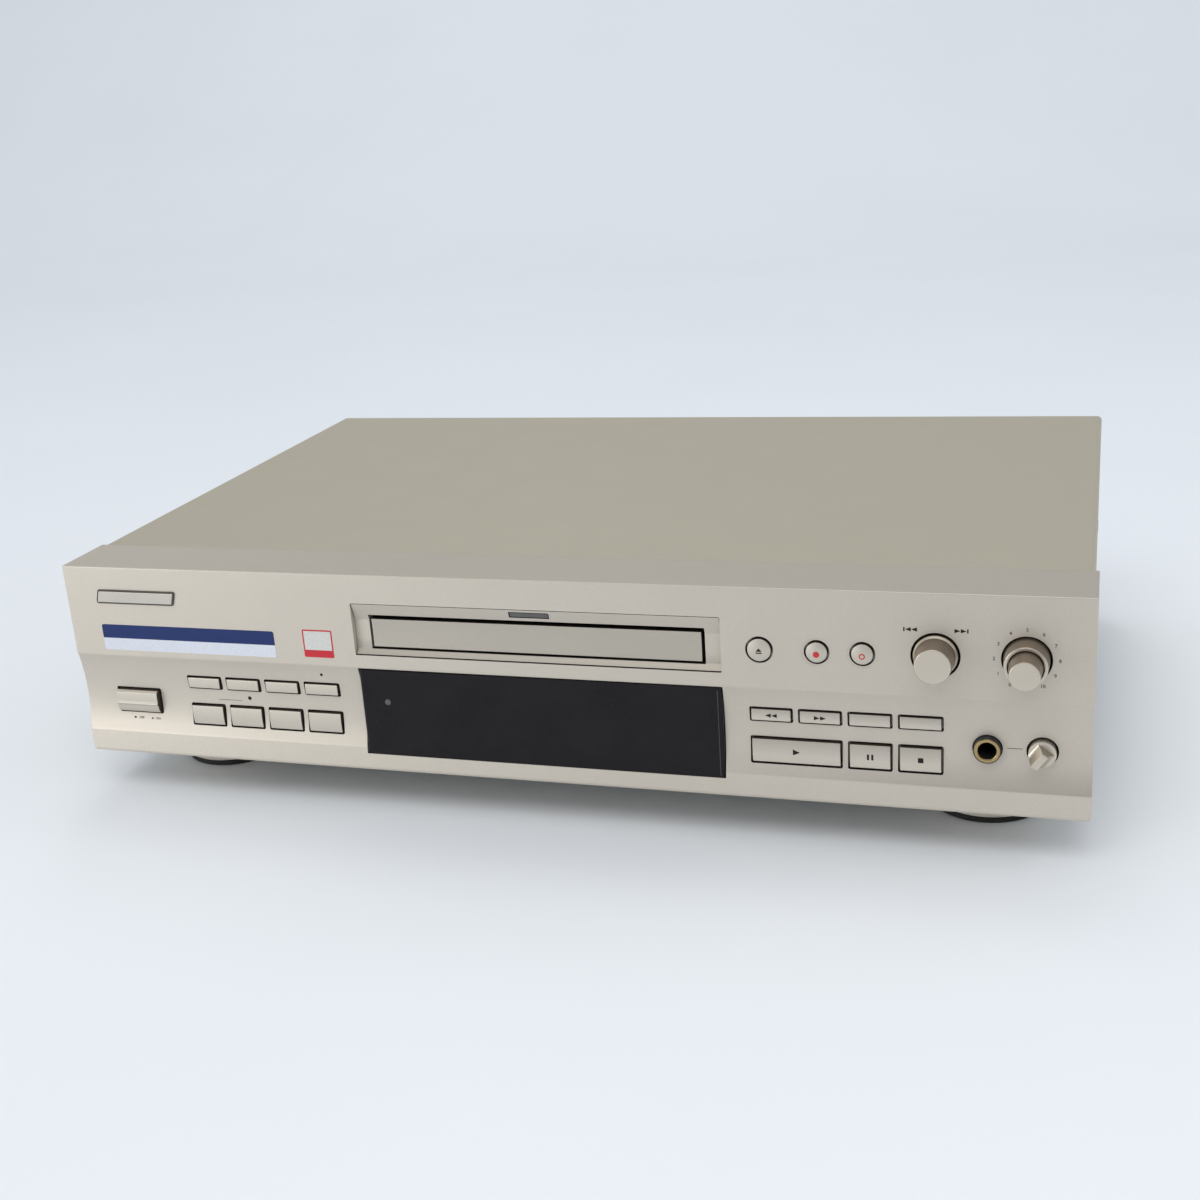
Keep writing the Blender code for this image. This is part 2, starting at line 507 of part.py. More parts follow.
cut(rear_panel, rods("rca_panel_holes", [((x, YB - 5, z), (x, YB + 5, z), 4.8) for x, z in RCA], sides=12),
    blocks("rear_panel_slots",
           [((x - 6.0, x + 6.0), (YB - 5, YB + 5), (z - 6.0, z + 6.0)) for x, z in OPTICAL]
           + [((AC[0] - 12.0, AC[0] + 12.0), (YB - 5, YB + 5), (AC[1] - 8.0, AC[1] + 8.0))]
           + [((-120.0 + n * 9.0, -116.5 + n * 9.0), (YB - 5, YB + 5), (62.0, 88.0)) for n in range(12)]))

# ------------------------------------------------------------------ feet
FEET = {"front_left": (-FOOT_X, FOOT_FRONT_Y), "front_right": (FOOT_X, FOOT_FRONT_Y),
        "rear_left": (-FOOT_X, FOOT_REAR_Y), "rear_right": (FOOT_X, FOOT_REAR_Y)}
for where, (x, y) in FEET.items():
    turned("foot_" + where, [(0, Z_BOTTOM - TOUCH), (21.6, Z_BOTTOM - TOUCH), (22.6, 17.2), (23.0, 15.0), (23.0, 3.1), (22.6, 2.6), (0, 2.6)],
           CHAMPAGNE, at=(x, y, 0), sides=28)
    turned("foot_pad_" + where, [(0, 2.3), (22.3, 2.3), (22.5, 1.9), (22.5, 0.5), (22.0, 0.0), (0, 0.0)], RUBBER, at=(x, y, 0), sides=28)

# ------------------------------------------------------------------ boards and transformer in the body
main_board = block("main_circuit_board", (80, 201), (YF + 56, YB - 18), (30.0, 31.6), BOARD)
chips = [block("chip_%d" % i, (x, x + w), (y, y + d), (31.0, 31.6 + h), helper=True) for i, (x, w, y, d, h) in enumerate((
    (96, 28, YF + 80, 28, 3.0), (150, 22, YF + 90, 16, 2.6), (100, 18, YF + 140, 24, 3.0), (168, 8, YF + 130, 40, 26.0)))]
join(main_board, *chips)
join(main_board, rods("capacitors", [((x, y, 31.0), (x, y, 31.6 + h), r) for x, y, r, h in (
    (140, YF + 150, 8, 30), (140, YF + 172, 8, 30), (188, YF + 190, 5, 16), (128, YF + 196, 5, 14), (150, YF + 205, 5, 14))], sides=10))

transformer = block("power_transformer", (-192, -128), (YB - 112, YB - 58), (FLOOR_TOP, 66.0), CORE)
join(transformer, block("winding_front", (-184, -136), (YB - 124, YB - 46), (28.0, 58.0), helper=True))
soften(transformer, 0.8)

# ------------------------------------------------------------------ disc loader
# The frame carries the tray in two side rails, and stands on four legs.
RAIL_IN, RAIL_OUT = 64.7, 69.0
L0, L1 = YF + 37.0, YF + 228.0
loader_frame = block("loader_frame", (-RAIL_OUT, RAIL_OUT), (L0, L1), (58.0, 84.7), GREY)
cut(loader_frame,
    block("loader_bay", (-RAIL_IN, RAIL_IN), (L0 - 5, L1 + 5), (61.0, 95.0), helper=True),
    block("loader_well", (-34.0, 34.0), (L0 + 16, L1 - 12), (50.0, 70.0), helper=True),
    block("loader_right_well", (30.0, 60.0), (L0 + 16, L1 - 12), (50.0, 70.0), helper=True),
    block("loader_left_well", (-60.0, -30.0), (YF + 128, L1 - 12), (50.0, 70.0), helper=True))
lips = []
for s in (-1, 1):
    for z0, z1 in ((83.2, 84.7), (74.2, 76.6)):
        x = sorted((s * 61.8, s * (RAIL_IN + 0.8)))
        lips.append(block("lip_%d_%d" % (s, z0), x, (L0, L1), (z0, z1), helper=True))
legs = [block("leg_%d" % i, (x, x + 7), (y, y + 9), (FLOOR_TOP, 59.0), helper=True)
        for i, (x, y) in enumerate(((-RAIL_OUT + 0.3, L0 + 1), (RAIL_OUT - 7.3, L0 + 1), (-RAIL_OUT + 0.3, L1 - 10), (RAIL_OUT - 7.3, L1 - 10)))]
join(loader_frame, *lips, *legs)
join(loader_frame, rods("gear_post", [((GEAR_X, GEAR_Y, 60.0), (GEAR_X, GEAR_Y, 76.2), 2.0)], sides=12))
# hinge ears for the pick-up base
ears = [block("ear_%d" % s, sorted((s * 33.2, s * 37.0)), (HINGE_Y - 4, HINGE_Y + 17), (57.9, 69.0), helper=True) for s in (-1, 1)]
join(loader_frame, *ears)
cut(loader_frame, rods("hinge_bores", [((s * 30.0, HINGE_Y, HINGE_Z), (s * 40.0, HINGE_Y, HINGE_Z), 2.0) for s in (-1, 1)], sides=12))


def gear_outline(x, y, teeth, module, thin, phase):
    """Straight-sided teeth, thinned for backlash. phase is the angle of a tooth's middle."""
    pitch = teeth * module / 2
    tip, root = pitch + 0.92 * module, pitch - 1.15 * module
    points = []
    for n in range(teeth):
        middle = phase + 2 * math.pi * n / teeth
        for r, share in ((root, -0.58), (tip, -0.19), (tip, 0.19), (root, 0.58)):
            spread = share * math.pi * module / 2 - math.copysign(thin, share)
            points.append((x + r * math.cos(middle + spread / r), y + r * math.sin(middle + spread / r)))
    return points


def rack_outline(x, y0, y1, module, thin, y_gap):
    """A rack whose teeth point along +X; x is its pitch line, and y_gap the middle of one gap between teeth."""
    step = math.pi * module
    first = math.ceil((y0 + step - y_gap) / step)
    last = math.floor((y1 - step - y_gap) / step)
    points = [(x - 3.4, y1), (x - 3.4, y0), (x - 1.15 * module, y0)]
    for n in range(first, last):
        middle = y_gap + (n + 0.5) * step
        for dx, share in ((-1.15 * module, -0.62), (0.92 * module, -0.17), (0.92 * module, 0.17), (-1.15 * module, 0.62)):
            points.append((x + dx, middle + share * step / 2 - math.copysign(thin, share)))
    points.append((x - 1.15 * module, y1))
    return points


loading_gear = outline("loading_gear", gear_outline(GEAR_X, GEAR_Y, GEAR_TEETH, GEAR_MODULE, 0.12, math.pi), "Z", RACK_LOW, 76.4,
                       NATURAL, origin=(GEAR_X, GEAR_Y, 70.0))
join(loading_gear,
     rods("gear_hub", [((GEAR_X, GEAR_Y, 63.5), (GEAR_X, GEAR_Y, 74.5), 8.0)], sides=16),
     rods("gear_pulley", [((GEAR_X, GEAR_Y, 63.2), (GEAR_X, GEAR_Y, 64.6), 15.0), ((GEAR_X, GEAR_Y, 67.4), (GEAR_X, GEAR_Y, 68.8), 15.0)], sides=24),
     rods("gear_pulley_core", [((GEAR_X, GEAR_Y, 64.0), (GEAR_X, GEAR_Y, 68.0), 13.2)], sides=24))
cut(loading_gear, rods("gear_bore", [((GEAR_X, GEAR_Y, 50.0), (GEAR_X, GEAR_Y, 90.0), 2.5)], sides=16))

MOTOR_X, MOTOR_Y = -50.0, YF + 102.0
PULLEY_R, BELT_Z = 3.4, 66.0
motor_pulley = turned("motor_pulley", [(1.1, 68.4), (4.4, 68.4), (4.4, 67.6), (PULLEY_R, 67.2), (PULLEY_R, 64.8), (4.4, 64.4), (4.4, 63.6), (1.1, 63.6)],
                      BRASS, at=(MOTOR_X, MOTOR_Y, 0), sides=16, closed=True)
loading_motor = turned("loading_motor", [(0, 67.9), (0.7, 67.9), (0.7, 62.2), (3.0, 62.2), (3.0, 61.4), (10.0, 61.4), (10.6, 60.8), (10.6, 41.0), (0, 41.0)],
                       ZINC, at=(MOTOR_X, MOTOR_Y, 0), sides=20)
# the motor hangs in a hole of the frame's shelf, under the pulley
cut(loader_frame, rods("motor_seat", [((MOTOR_X, MOTOR_Y, 50), (MOTOR_X, MOTOR_Y, 72), 11.0)], sides=20))

# a flat belt round both pulleys, just clear of them
span = Vector((MOTOR_X - GEAR_X, MOTOR_Y - GEAR_Y))
heading = math.atan2(span.y, span.x)
big, small, belt_t = 13.2 + 0.45, PULLEY_R + 0.45, 1.1
lean = math.acos((big - small) / span.length)


def belt_loop(grow):
    loop = []
    for n in range(15):
        t = heading + lean + (2 * math.pi - 2 * lean) * n / 14
        loop.append((GEAR_X + (big + grow) * math.cos(t), GEAR_Y + (big + grow) * math.sin(t)))
    for n in range(9):
        t = heading - lean + 2 * lean * n / 8
        loop.append((MOTOR_X + (small + grow) * math.cos(t), MOTOR_Y + (small + grow) * math.sin(t)))
    return loop


drive_belt = outline("drive_belt", belt_loop(belt_t), "Z", 65.4, 66.6, RUBBER)
cut(drive_belt, outline("belt_inside", belt_loop(0.0), "Z", 60.0, 72.0, helper=True))

# the tray: disc seats of two sizes, a slot for the turntable that runs out at the rear, and a rack under its left side
T0, T1 = YF + 8.3, YF + 224.0
tray_home = pivot("tray_slide_axis", (0, YF, TRAY_FLOOR))
disc_tray = block("disc_tray", (-64.0, 64.0), (T0, T1), (TRAY_FLOOR, TRAY_TOP), GREY, parent=tray_home)
join(disc_tray, outline("tray_rack", rack_outline(-58.0, YF + 48.0, T1 - 2.0, GEAR_MODULE, 0.12, GEAR_Y),
                        "Z", RACK_LOW, TRAY_FLOOR + 1.0, helper=True))
cut(disc_tray,
    rods("disc_seat_120", [((0, DISC_Y, TRAY_TOP - 2.4), (0, DISC_Y, TRAY_TOP + 5), 60.6)], sides=48),
    rods("disc_seat_80", [((0, DISC_Y, TRAY_TOP - 3.4), (0, DISC_Y, TRAY_TOP + 5), 40.6)], sides=32),
    outline("turntable_slot", [(21 * math.cos(t * math.pi / 12), DISC_Y + 21 * math.sin(t * math.pi / 12)) for t in range(12, 25)]
            + [(21, T1 + 5), (-21, T1 + 5)], "Z", TRAY_FLOOR - 5, TRAY_TOP + 5, helper=True),
    block("tray_tail", (-48.0, 48.0), (YF + 172.0, T1 + 5), (TRAY_FLOOR - 5, TRAY_TOP + 5), helper=True))

# the door is nearly flat: it stands proud of the surround's hollow in the middle, with a wider gap over it
g = SLOT_GAP
door_top, door_low = DOOR_TOP + 1.2, DOOR_LOW - g
door_face = [(YF + 2.15, up(door_top)), (YF + 2.35, up(door_top + 3.4)), (YF + 2.35, up(door_low - 3.4)), (YF + 2.25, up(door_low))]
tray_door = outline("tray_door", door_face + [(YF + 8.0, up(door_low)), (YF + 8.0, up(door_top))], "X",
                    -DOOR_X + g, DOOR_X - g, CHAMPAGNE, origin=(0, YF, TRAY_FLOOR), parent=tray_home)

# the bridge over the tray that holds the disc clamper
clamp_bridge = block("clamp_bridge", (-RAIL_OUT, RAIL_OUT), (DISC_Y - 18, DISC_Y + 18), (90.6, 92.0), ZINC)
join(clamp_bridge, *[block("bridge_leg_%d" % s, sorted((s * 66.2, s * RAIL_OUT)), (DISC_Y - 18, DISC_Y + 18), (85.0, 91.3), helper=True) for s in (-1, 1)])
cut(clamp_bridge, rods("clamper_hole", [((0, DISC_Y, 80), (0, DISC_Y, 100), 10.6)], sides=24))

disc_clamper = turned("disc_clamper", [(0, 94.2), (13.0, 94.2), (13.4, 93.6), (13.0, 92.6), (9.4, 92.6), (9.4, 88.4), (15.0, 87.4), (15.4, 84.2), (14.8, 83.8),
                                       (8.4, 83.8), (8.0, 84.8), (0, 84.8)], BLACK, at=(0, DISC_Y, 0), sides=24)

# ------------------------------------------------------------------ pick-up base, which tips down to let the tray pass
base_pivot = pivot("traverse_pivot", (0, HINGE_Y, HINGE_Z))
traverse = block("traverse_base", (-31.5, 31.5), (YF + 71.0, HINGE_Y + 6.0), (62.0, 64.6), GREY, parent=base_pivot)
cut(traverse, block("pickup_window", (-19.5, 19.5), (DISC_Y + 20, HINGE_Y - 14.0), (55, 70), helper=True))
ROD_X, ROD_Z = 25.0, 70.0
posts = []
for s in (-1, 1):
    for n, (y0, y1) in enumerate(((DISC_Y + 4.0, DISC_Y + 9.0), (HINGE_Y - 13.0, HINGE_Y - 8.0))):
        posts.append(block("rod_post_%d_%d" % (s, n), sorted((s * (ROD_X - 3.5), s * (ROD_X + 3.5))), (y0, y1), (63.5, 72.8), helper=True))
join(traverse, *posts)
join(traverse, rods("hinge_pins", [((s * 29.0, HINGE_Y, HINGE_Z), (s * 35.6, HINGE_Y, HINGE_Z), 1.6) for s in (-1, 1)], sides=12))

spindle_motor = turned("spindle_motor", [(0, 78.6), (0.9, 78.6), (0.9, 77.0), (3.0, 77.0), (3.2, 76.2), (13.2, 76.2), (13.8, 75.4), (13.8, 64.9), (0, 64.9)],
                       ZINC, at=(0, DISC_Y, 0), sides=24, parent=base_pivot)
turntable = turned("turntable", [(0, 83.4), (3.0, 83.4), (6.0, 82.6), (7.4, 81.2), (7.4, 80.6), (15.0, 80.6), (15.2, 79.2), (5.0, 78.4), (4.4, 77.6),
                                 (1.3, 77.6), (1.3, 79.0), (0, 79.0)], BLACK, at=(0, DISC_Y, 0), sides=24, parent=base_pivot)

r0, r1 = DISC_Y + 9.0 + TOUCH, HINGE_Y - 13.0 - TOUCH
rods("guide_rod", [((-ROD_X, r0, ROD_Z), (-ROD_X, r1, ROD_Z), 1.5)], sides=12, mat=SHAFT, helper=False, origin=(-ROD_X, r0, ROD_Z))
lead_screw = turned("sled_lead_screw",
                    [(0, r1 - r0)] + [(1.5 + 0.45 * (n % 2), (r1 - r0) - n * (r1 - r0 - 8.0) / 24 - 0.4) for n in range(25)]
                    + [(1.6, 6.0), (4.8, 5.8), (4.8, 3.0), (1.6, 2.8), (1.6, 0), (0, 0)], SHAFT, at=(ROD_X, r1, ROD_Z), facing="-Y", sides=10)

P0, P1 = DISC_Y + 15.6, DISC_Y + 40.0
pickup = block("optical_pickup", (-17.5, 17.5), (P0, P1), (65.6, 74.4), ZINC, origin=(0, LENS_Y, ROD_Z))
join(pickup, block("rod_bearing", (-28.3, -16.0), (P0 + 3, P1 - 3), (67.0, 73.2), helper=True),
     block("screw_nut", (16.0, ROD_X - 2.6), (P0 + 6, P1 - 6), (67.4, 72.6), helper=True),
     rods("lens_tower", [((0, LENS_Y, 73.5), (0, LENS_Y, 76.0), 7.0), ], sides=16),
     rods("lens", [((0, LENS_Y, 75.5), (0, LENS_Y, 77.6), 3.2)], sides=16))
cut(pickup, rods("rod_bore", [((-ROD_X, P0 - 5, ROD_Z), (-ROD_X, P1 + 5, ROD_Z), 2.0)], sides=12))

# ------------------------------------------------------------------ round faces shaded smooth, their edges kept sharp
bpy.context.view_layer.update()
view = bpy.context.evaluated_depsgraph_get()
shaded = [(obj, bpy.data.meshes.new_from_object(obj.evaluated_get(view))) for obj in parts.objects if obj.type == "MESH"]
for obj, mesh in shaded:
    mesh.name = obj.name
    mesh.shade_smooth()
    mesh.set_sharp_from_angle(angle=math.radians(35))
    obj.data = mesh
    obj.modifiers.clear()
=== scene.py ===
"""The looks of the disc recorder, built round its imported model: paint, mouldings, print, sheet steel and sockets."""
import math

import bmesh
import bpy
from mathutils import Matrix, Vector


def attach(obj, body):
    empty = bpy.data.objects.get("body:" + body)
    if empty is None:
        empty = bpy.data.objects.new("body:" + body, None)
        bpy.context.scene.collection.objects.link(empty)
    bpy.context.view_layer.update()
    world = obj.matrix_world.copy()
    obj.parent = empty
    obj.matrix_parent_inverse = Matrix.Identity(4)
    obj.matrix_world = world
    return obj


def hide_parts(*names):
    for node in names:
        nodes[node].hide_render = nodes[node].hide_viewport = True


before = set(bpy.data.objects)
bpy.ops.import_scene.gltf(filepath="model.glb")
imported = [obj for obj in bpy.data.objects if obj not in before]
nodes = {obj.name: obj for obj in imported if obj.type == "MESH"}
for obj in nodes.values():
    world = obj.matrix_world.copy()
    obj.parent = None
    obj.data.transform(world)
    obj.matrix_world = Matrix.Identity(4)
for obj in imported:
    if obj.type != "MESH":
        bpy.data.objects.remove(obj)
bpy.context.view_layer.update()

MM = 0.001

# ------------------------------------------------------------------ sizes, mm: the part's own
HEIGHT, WIDTH = 105.0, 420.0
YF = -132.5
YB = 145.5
Z_BOTTOM = 18.8
PANEL_H = 86.2
PANEL_WRAP, WALL = 30.5, 2.5
BEZEL_X, BEZEL_TOP, BEZEL_LOW = 76.0, 12.2, 34.4
DOOR_X, DOOR_TOP, DOOR_LOW = 69.5, 17.5, 32.2
WINDOW_X, WINDOW_TOP, WINDOW_LOW = 76.0, 40.3, 78.3
JACK_X, LEVEL_X, JACK_DOWN = 173.3, 192.6, 60.0
DIGITAL_X, ANALOG_X, KNOB_DOWN = 154.9, 186.55, 23.9
RECESS_R = 8.85
GAP = 0.82
DOOR_GAP = 1.25
DISC_Y = YF + 88.0
BOARD_Y = YF + 14.0
FOOT_X, FOOT_FRONT_Y, FOOT_REAR_Y = 170.4, YF + 53.8, YB - 42.0


def up(down):
    return HEIGHT - down


# ------------------------------------------------------------------ camera at the photograph's place
turn = Vector((1.8915264, 0.2500387, -0.2847298))
to_camera = Matrix.Rotation(turn.length, 3, turn.normalized())
lens = bpy.data.cameras.new("camera")
lens.lens = 48.143
lens.sensor_width = 36.0
lens.sensor_fit = "HORIZONTAL"
lens.shift_x = 0.03386
lens.clip_start, lens.clip_end = 0.01, 20.0
camera = bpy.data.objects.new("camera", lens)
pose = Matrix((to_camera[0], -to_camera[1], -to_camera[2])).transposed().to_4x4()
pose.translation = Vector((0.208911, -0.682642, 0.295510))
camera.matrix_world = pose
bpy.context.scene.collection.objects.link(camera)
bpy.context.scene.camera = camera


# ------------------------------------------------------------------ materials
class Nodes:
    """Short names for building one material's nodes."""

    def __init__(self, name):
        self.m = bpy.data.materials.new(name)
        self.m.use_nodes = True
        self.tree = self.m.node_tree
        self.shader = self.tree.nodes["Principled BSDF"]
        self.place = self.tree.nodes.new("ShaderNodeTexCoord")

    def node(self, kind, **values):
        n = self.tree.nodes.new(kind)
        for key, value in values.items():
            if isinstance(value, str) or key in ("interpolation_type", "data_type", "use_clamp", "noise_dimensions"):
                setattr(n, key, value)
            else:
                n.inputs[key.replace("_", " ")].default_value = value
        return n

    def link(self, a, b):
        self.tree.links.new(a, b)

    def noise(self, scale, detail=2.0, roughness=0.5, stretch=None):
        n = self.node("ShaderNodeTexNoise", Scale=scale, Detail=detail, Roughness=roughness)
        if stretch:
            way = self.node("ShaderNodeMapping")
            way.inputs["Scale"].default_value = stretch
            self.link(self.place.outputs["Object"], way.inputs["Vector"])
            self.link(way.outputs["Vector"], n.inputs["Vector"])
        else:
            self.link(self.place.outputs["Object"], n.inputs["Vector"])
        return n.outputs["Fac"]

    def span(self, value, low, high, at=(0.3, 0.7)):
        n = self.node("ShaderNodeMapRange")
        n.inputs["From Min"].default_value, n.inputs["From Max"].default_value = at
        n.inputs["To Min"].default_value, n.inputs["To Max"].default_value = low, high
        self.link(value, n.inputs["Value"])
        return n.outputs["Result"]

    def mix(self, fac, a, b):
        n = self.node("ShaderNodeMix", data_type="RGBA")
        sockets = [s for s in n.inputs if s.type == "RGBA"]
        for s, c in zip(sockets, (a, b)):
            if isinstance(c, tuple):
                s.default_value = (*c, 1.0)
            else:
                self.link(c, s)
        self.link(fac, n.inputs[0])
        return next(s for s in n.outputs if s.type == "RGBA")

    def colour(self, socket):
        self.link(socket, self.shader.inputs["Base Color"])

    def rough(self, socket):
        self.link(socket, self.shader.inputs["Roughness"])

    def bump(self, height, strength, distance):
        n = self.node("ShaderNodeBump", Strength=strength, Distance=distance)
        self.link(height, n.inputs["Height"])
        self.link(n.outputs["Normal"], self.shader.inputs["Normal"])

    def set(self, **values):
        for key, value in values.items():
            self.shader.inputs[key.replace("_", " ")].default_value = value
        return self


def scaled(colour, by):
    return tuple(min(1.0, c * by) for c in colour)


def metallic_paint(name, colour, metallic, roughness, grain=5200.0, depth=0.05, bump=0.06, coat=0.0, painted_light_fades=()):
    """Champagne paint with metal flake: a fine grain in the colour, a softer cloud under it, and a slight texture.
    Each fade is painted light or shade: a height where the tone is scaled, a height where it isn't yet, and the scale.
    A fade that also runs sideways goes on with the x where it begins and the x where it is full."""
    k = Nodes(name)
    fine = k.noise(grain, 1.0, 0.6)
    cloud = k.noise(38.0, 3.0, 0.55)
    base = k.mix(k.span(cloud, 0.0, 1.0), scaled(colour, 0.975), scaled(colour, 1.02))
    tone = k.mix(k.span(fine, 0.0, 1.0, (0.25, 0.75)), scaled(colour, 1.0 - depth), base)
    for full, none, by, *across in painted_light_fades:
        height = k.node("ShaderNodeSeparateXYZ")
        k.link(k.place.outputs["Object"], height.inputs["Vector"])
        changed = k.mix(k.span(fine, 0.0, 1.0, (0.25, 0.75)), scaled(colour, by * (1.0 - depth)), scaled(colour, by))
        low, high = min(full, none) * MM, max(full, none) * MM
        ends = (0.0, 1.0) if full < none else (1.0, 0.0)
        part = k.span(height.outputs["Z"], *ends, (low, high))
        if across:
            x0, x1 = across
            begun = k.span(height.outputs["X"], *((1.0, 0.0) if x0 < x1 else (0.0, 1.0)), (min(x0, x1) * MM, max(x0, x1) * MM))
            k.link(begun, part.node.inputs["To Min" if full < none else "To Max"])
        tone = k.mix(part, changed, tone)
    k.colour(tone)
    k.rough(k.span(fine, roughness - 0.03, roughness + 0.03))
    k.bump(fine, bump, 0.00004)
    k.set(Metallic=metallic, Coat_Weight=coat, Coat_Roughness=0.3)
    return k.m


def plastic(name, colour, roughness, grain=2600.0, bump=0.08, coat=0.0, spread=0.08):
    """Moulded plastic with a fine spark-eroded texture."""
    k = Nodes(name)
    fine = k.noise(grain, 2.0, 0.6)
    cloud = k.noise(60.0, 2.0)
    k.colour(k.mix(k.span(cloud, 0.0, 1.0), scaled(colour, 1 - spread), scaled(colour, 1 + spread)))
    k.rough(k.span(fine, roughness - 0.05, roughness + 0.05))
    k.bump(fine, bump, 0.00004)
    k.set(Coat_Weight=coat, Coat_Roughness=0.08)
    return k.m


def metal(name, colour, roughness, stretch=None, spread=0.06, bump=0.04, scale=900.0):
    """Bare or plated metal, with a drawn grain where stretch is given."""
    k = Nodes(name)
    grain = k.noise(scale, 2.0, 0.6, stretch)
    cloud = k.noise(45.0, 3.0, 0.6)
    k.colour(k.mix(k.span(cloud, 0.0, 1.0), scaled(colour, 1 - spread), scaled(colour, 1 + spread)))
    k.rough(k.span(grain, roughness - 0.06, roughness + 0.06))
    k.bump(grain, bump, 0.00003)
    k.set(Metallic=1.0)
    return k.m


def printed(name, colour, roughness=0.6):
    """Screen-print ink, a little uneven."""
    k = Nodes(name)
    fine = k.noise(3000.0, 2.0)
    k.colour(k.mix(k.span(fine, 0.0, 1.0), scaled(colour, 0.88), scaled(colour, 1.12)))
    k.rough(k.span(fine, roughness - 0.05, roughness + 0.05))
    k.set(Specular_IOR_Level=0.25)
    return k.m


CHAMPAGNE = metallic_paint("champagne_paint", (0.616, 0.563, 0.485), 0.46, 0.46, grain=2700.0, depth=0.10, bump=0.10)
# the panel's paint carries painted light and shade set by position: painted shade makes the top wrap darker from the
# middle rightwards and the lower hollow darker towards the right, painted light makes the lip below the crease lighter,
# more so at the left
PANEL_PAINT_LIT_AND_SHADED = metallic_paint("champagne_panel_paint_painted_light_and_shade", (0.616, 0.563, 0.485), 0.46, 0.46, grain=2700.0, depth=0.10, bump=0.10,
                             painted_light_fades=((HEIGHT - 0.10, HEIGHT - 0.55, 0.87, -230, -60), (up(75.2), up(64.0), 0.82, 20, 200), (up(76.2), up(75.6), 1.05),
                                    (up(76.2), up(75.6), 1.20, 40, -200)))
# the tray surround's paint is darker towards its lower edge: painted shade
SURROUND_PAINT_SHADED = metallic_paint("champagne_surround_paint_painted_shade", (0.616, 0.563, 0.485), 0.46, 0.46, grain=2700.0, depth=0.10, bump=0.10,
                                painted_light_fades=((up(32.4), up(27.5), 0.78),))
# the right-hand caps' paint is a lighter copy of the champagne paint, painted light, and darker towards each cap's top,
# painted shade
CAP_PAINTS_LIT_AND_SHADED = [metallic_paint("champagne_cap_paint_%d" % (i + 1), (0.655, 0.599, 0.516), 0.46, 0.46, grain=2700.0, depth=0.10, bump=0.10,
                             painted_light_fades=((up(t), up(l), 0.74),)) for i, (t, l) in enumerate(((49.2, 52.6), (61.4, 67.5)))]
# the door's paint is a darker copy of the champagne paint: painted shade
DOOR_PAINT_SHADED = metallic_paint("champagne_door_paint_painted_shade", (0.490, 0.452, 0.388), 0.46, 0.46, grain=2700.0, depth=0.10, bump=0.10)
# the feet's paint is lighter than the champagne paint: painted light against the shade under the unit
FOOT = metallic_paint("champagne_foot_paint_painted_light", (0.760, 0.700, 0.610), 0.25, 0.40)
KNOB = metallic_paint("champagne_knob_paint", (0.640, 0.572, 0.480), 0.85, 0.33)
# the knobs' sides take a dark copy of the knob paint: painted shade
KNOB_SIDE_SHADE = metallic_paint("champagne_knob_side_painted_shade", (0.300, 0.245, 0.190), 0.80, 0.36)
COVER = metallic_paint("champagne_cover_paint", (0.500, 0.460, 0.366), 0.35, 0.50, grain=2400.0, depth=0.10, bump=0.16)
# near black on the walls of the openings, behind the dish and on the door's sides: painted shade in the gaps
GAP_SHADE = plastic("gap_walls_painted_shade", (0.022, 0.016, 0.012), 0.55)
# near black on the buttons' sides: painted shade in the gaps round them
CAP_SIDE_SHADE = plastic("button_sides_painted_shade", (0.040, 0.029, 0.021), 0.50)
ZINC = metal("zinc_plate", (0.60, 0.60, 0.575), 0.38, spread=0.035)
STEEL = metal("ground_steel", (0.72, 0.72, 0.71), 0.22, (60.0, 1.0, 60.0))
# a lighter line on the pane: painted highlight of its rounded right edge
PANE_EDGE_HIGHLIGHT = plastic("pane_edge_painted_highlight", (0.048, 0.043, 0.043), 0.45)
SCREW = metal("screw_steel", (0.30, 0.29, 0.27), 0.34)
NICKEL = metal("nickel_plate", (0.74, 0.73, 0.70), 0.20)
GOLD = metal("gilt_ring", (0.42, 0.31, 0.15), 0.30)
BRASS = metal("turned_brass", (0.72, 0.56, 0.28), 0.28, (1.0, 1.0, 60.0))
BRIGHT = metal("satin_plaque", (0.50, 0.47, 0.42), 0.34, (1.0, 60.0, 60.0))
BLACK = plastic("black_plastic", (0.018, 0.018, 0.019), 0.42)
DARK = plastic("dark_border", (0.060, 0.046, 0.034), 0.40)
GREY = plastic("grey_plastic", (0.085, 0.085, 0.090), 0.46)
NATURAL = plastic("natural_acetal", (0.72, 0.70, 0.64), 0.42)
RUBBER = plastic("black_rubber", (0.013, 0.013, 0.013), 0.78, grain=1500.0, bump=0.2)
LENS = plastic("lamp_lens", (0.100, 0.096, 0.092), 0.30, coat=0.3, spread=0.16)
SENSOR = plastic("sensor_lens", (0.085, 0.080, 0.090), 0.30, coat=0.4, spread=0.12)
WHITE = plastic("white_insulator", (0.78, 0.78, 0.76), 0.35)
RED = plastic("red_insulator", (0.52, 0.025, 0.022), 0.35)
SHUTTER = plastic("socket_shutter", (0.030, 0.030, 0.032), 0.3)
PRINT = printed("print_brown", (0.110, 0.092, 0.080))
PRINT_DARK = printed("print_dark", (0.014, 0.012, 0.011))
PRINT_RED = printed("print_red", (0.56, 0.045, 0.040))
LABEL_BLUE = printed("label_blue", (0.010, 0.028, 0.135), 0.45)
LABEL_WHITE = printed("label_white", (0.72, 0.75, 0.82), 0.35)
LABEL_RED = printed("label_red", (0.60, 0.030, 0.045), 0.35)
LABEL_PALE = printed("label_pale", (0.66, 0.66, 0.62), 0.40)


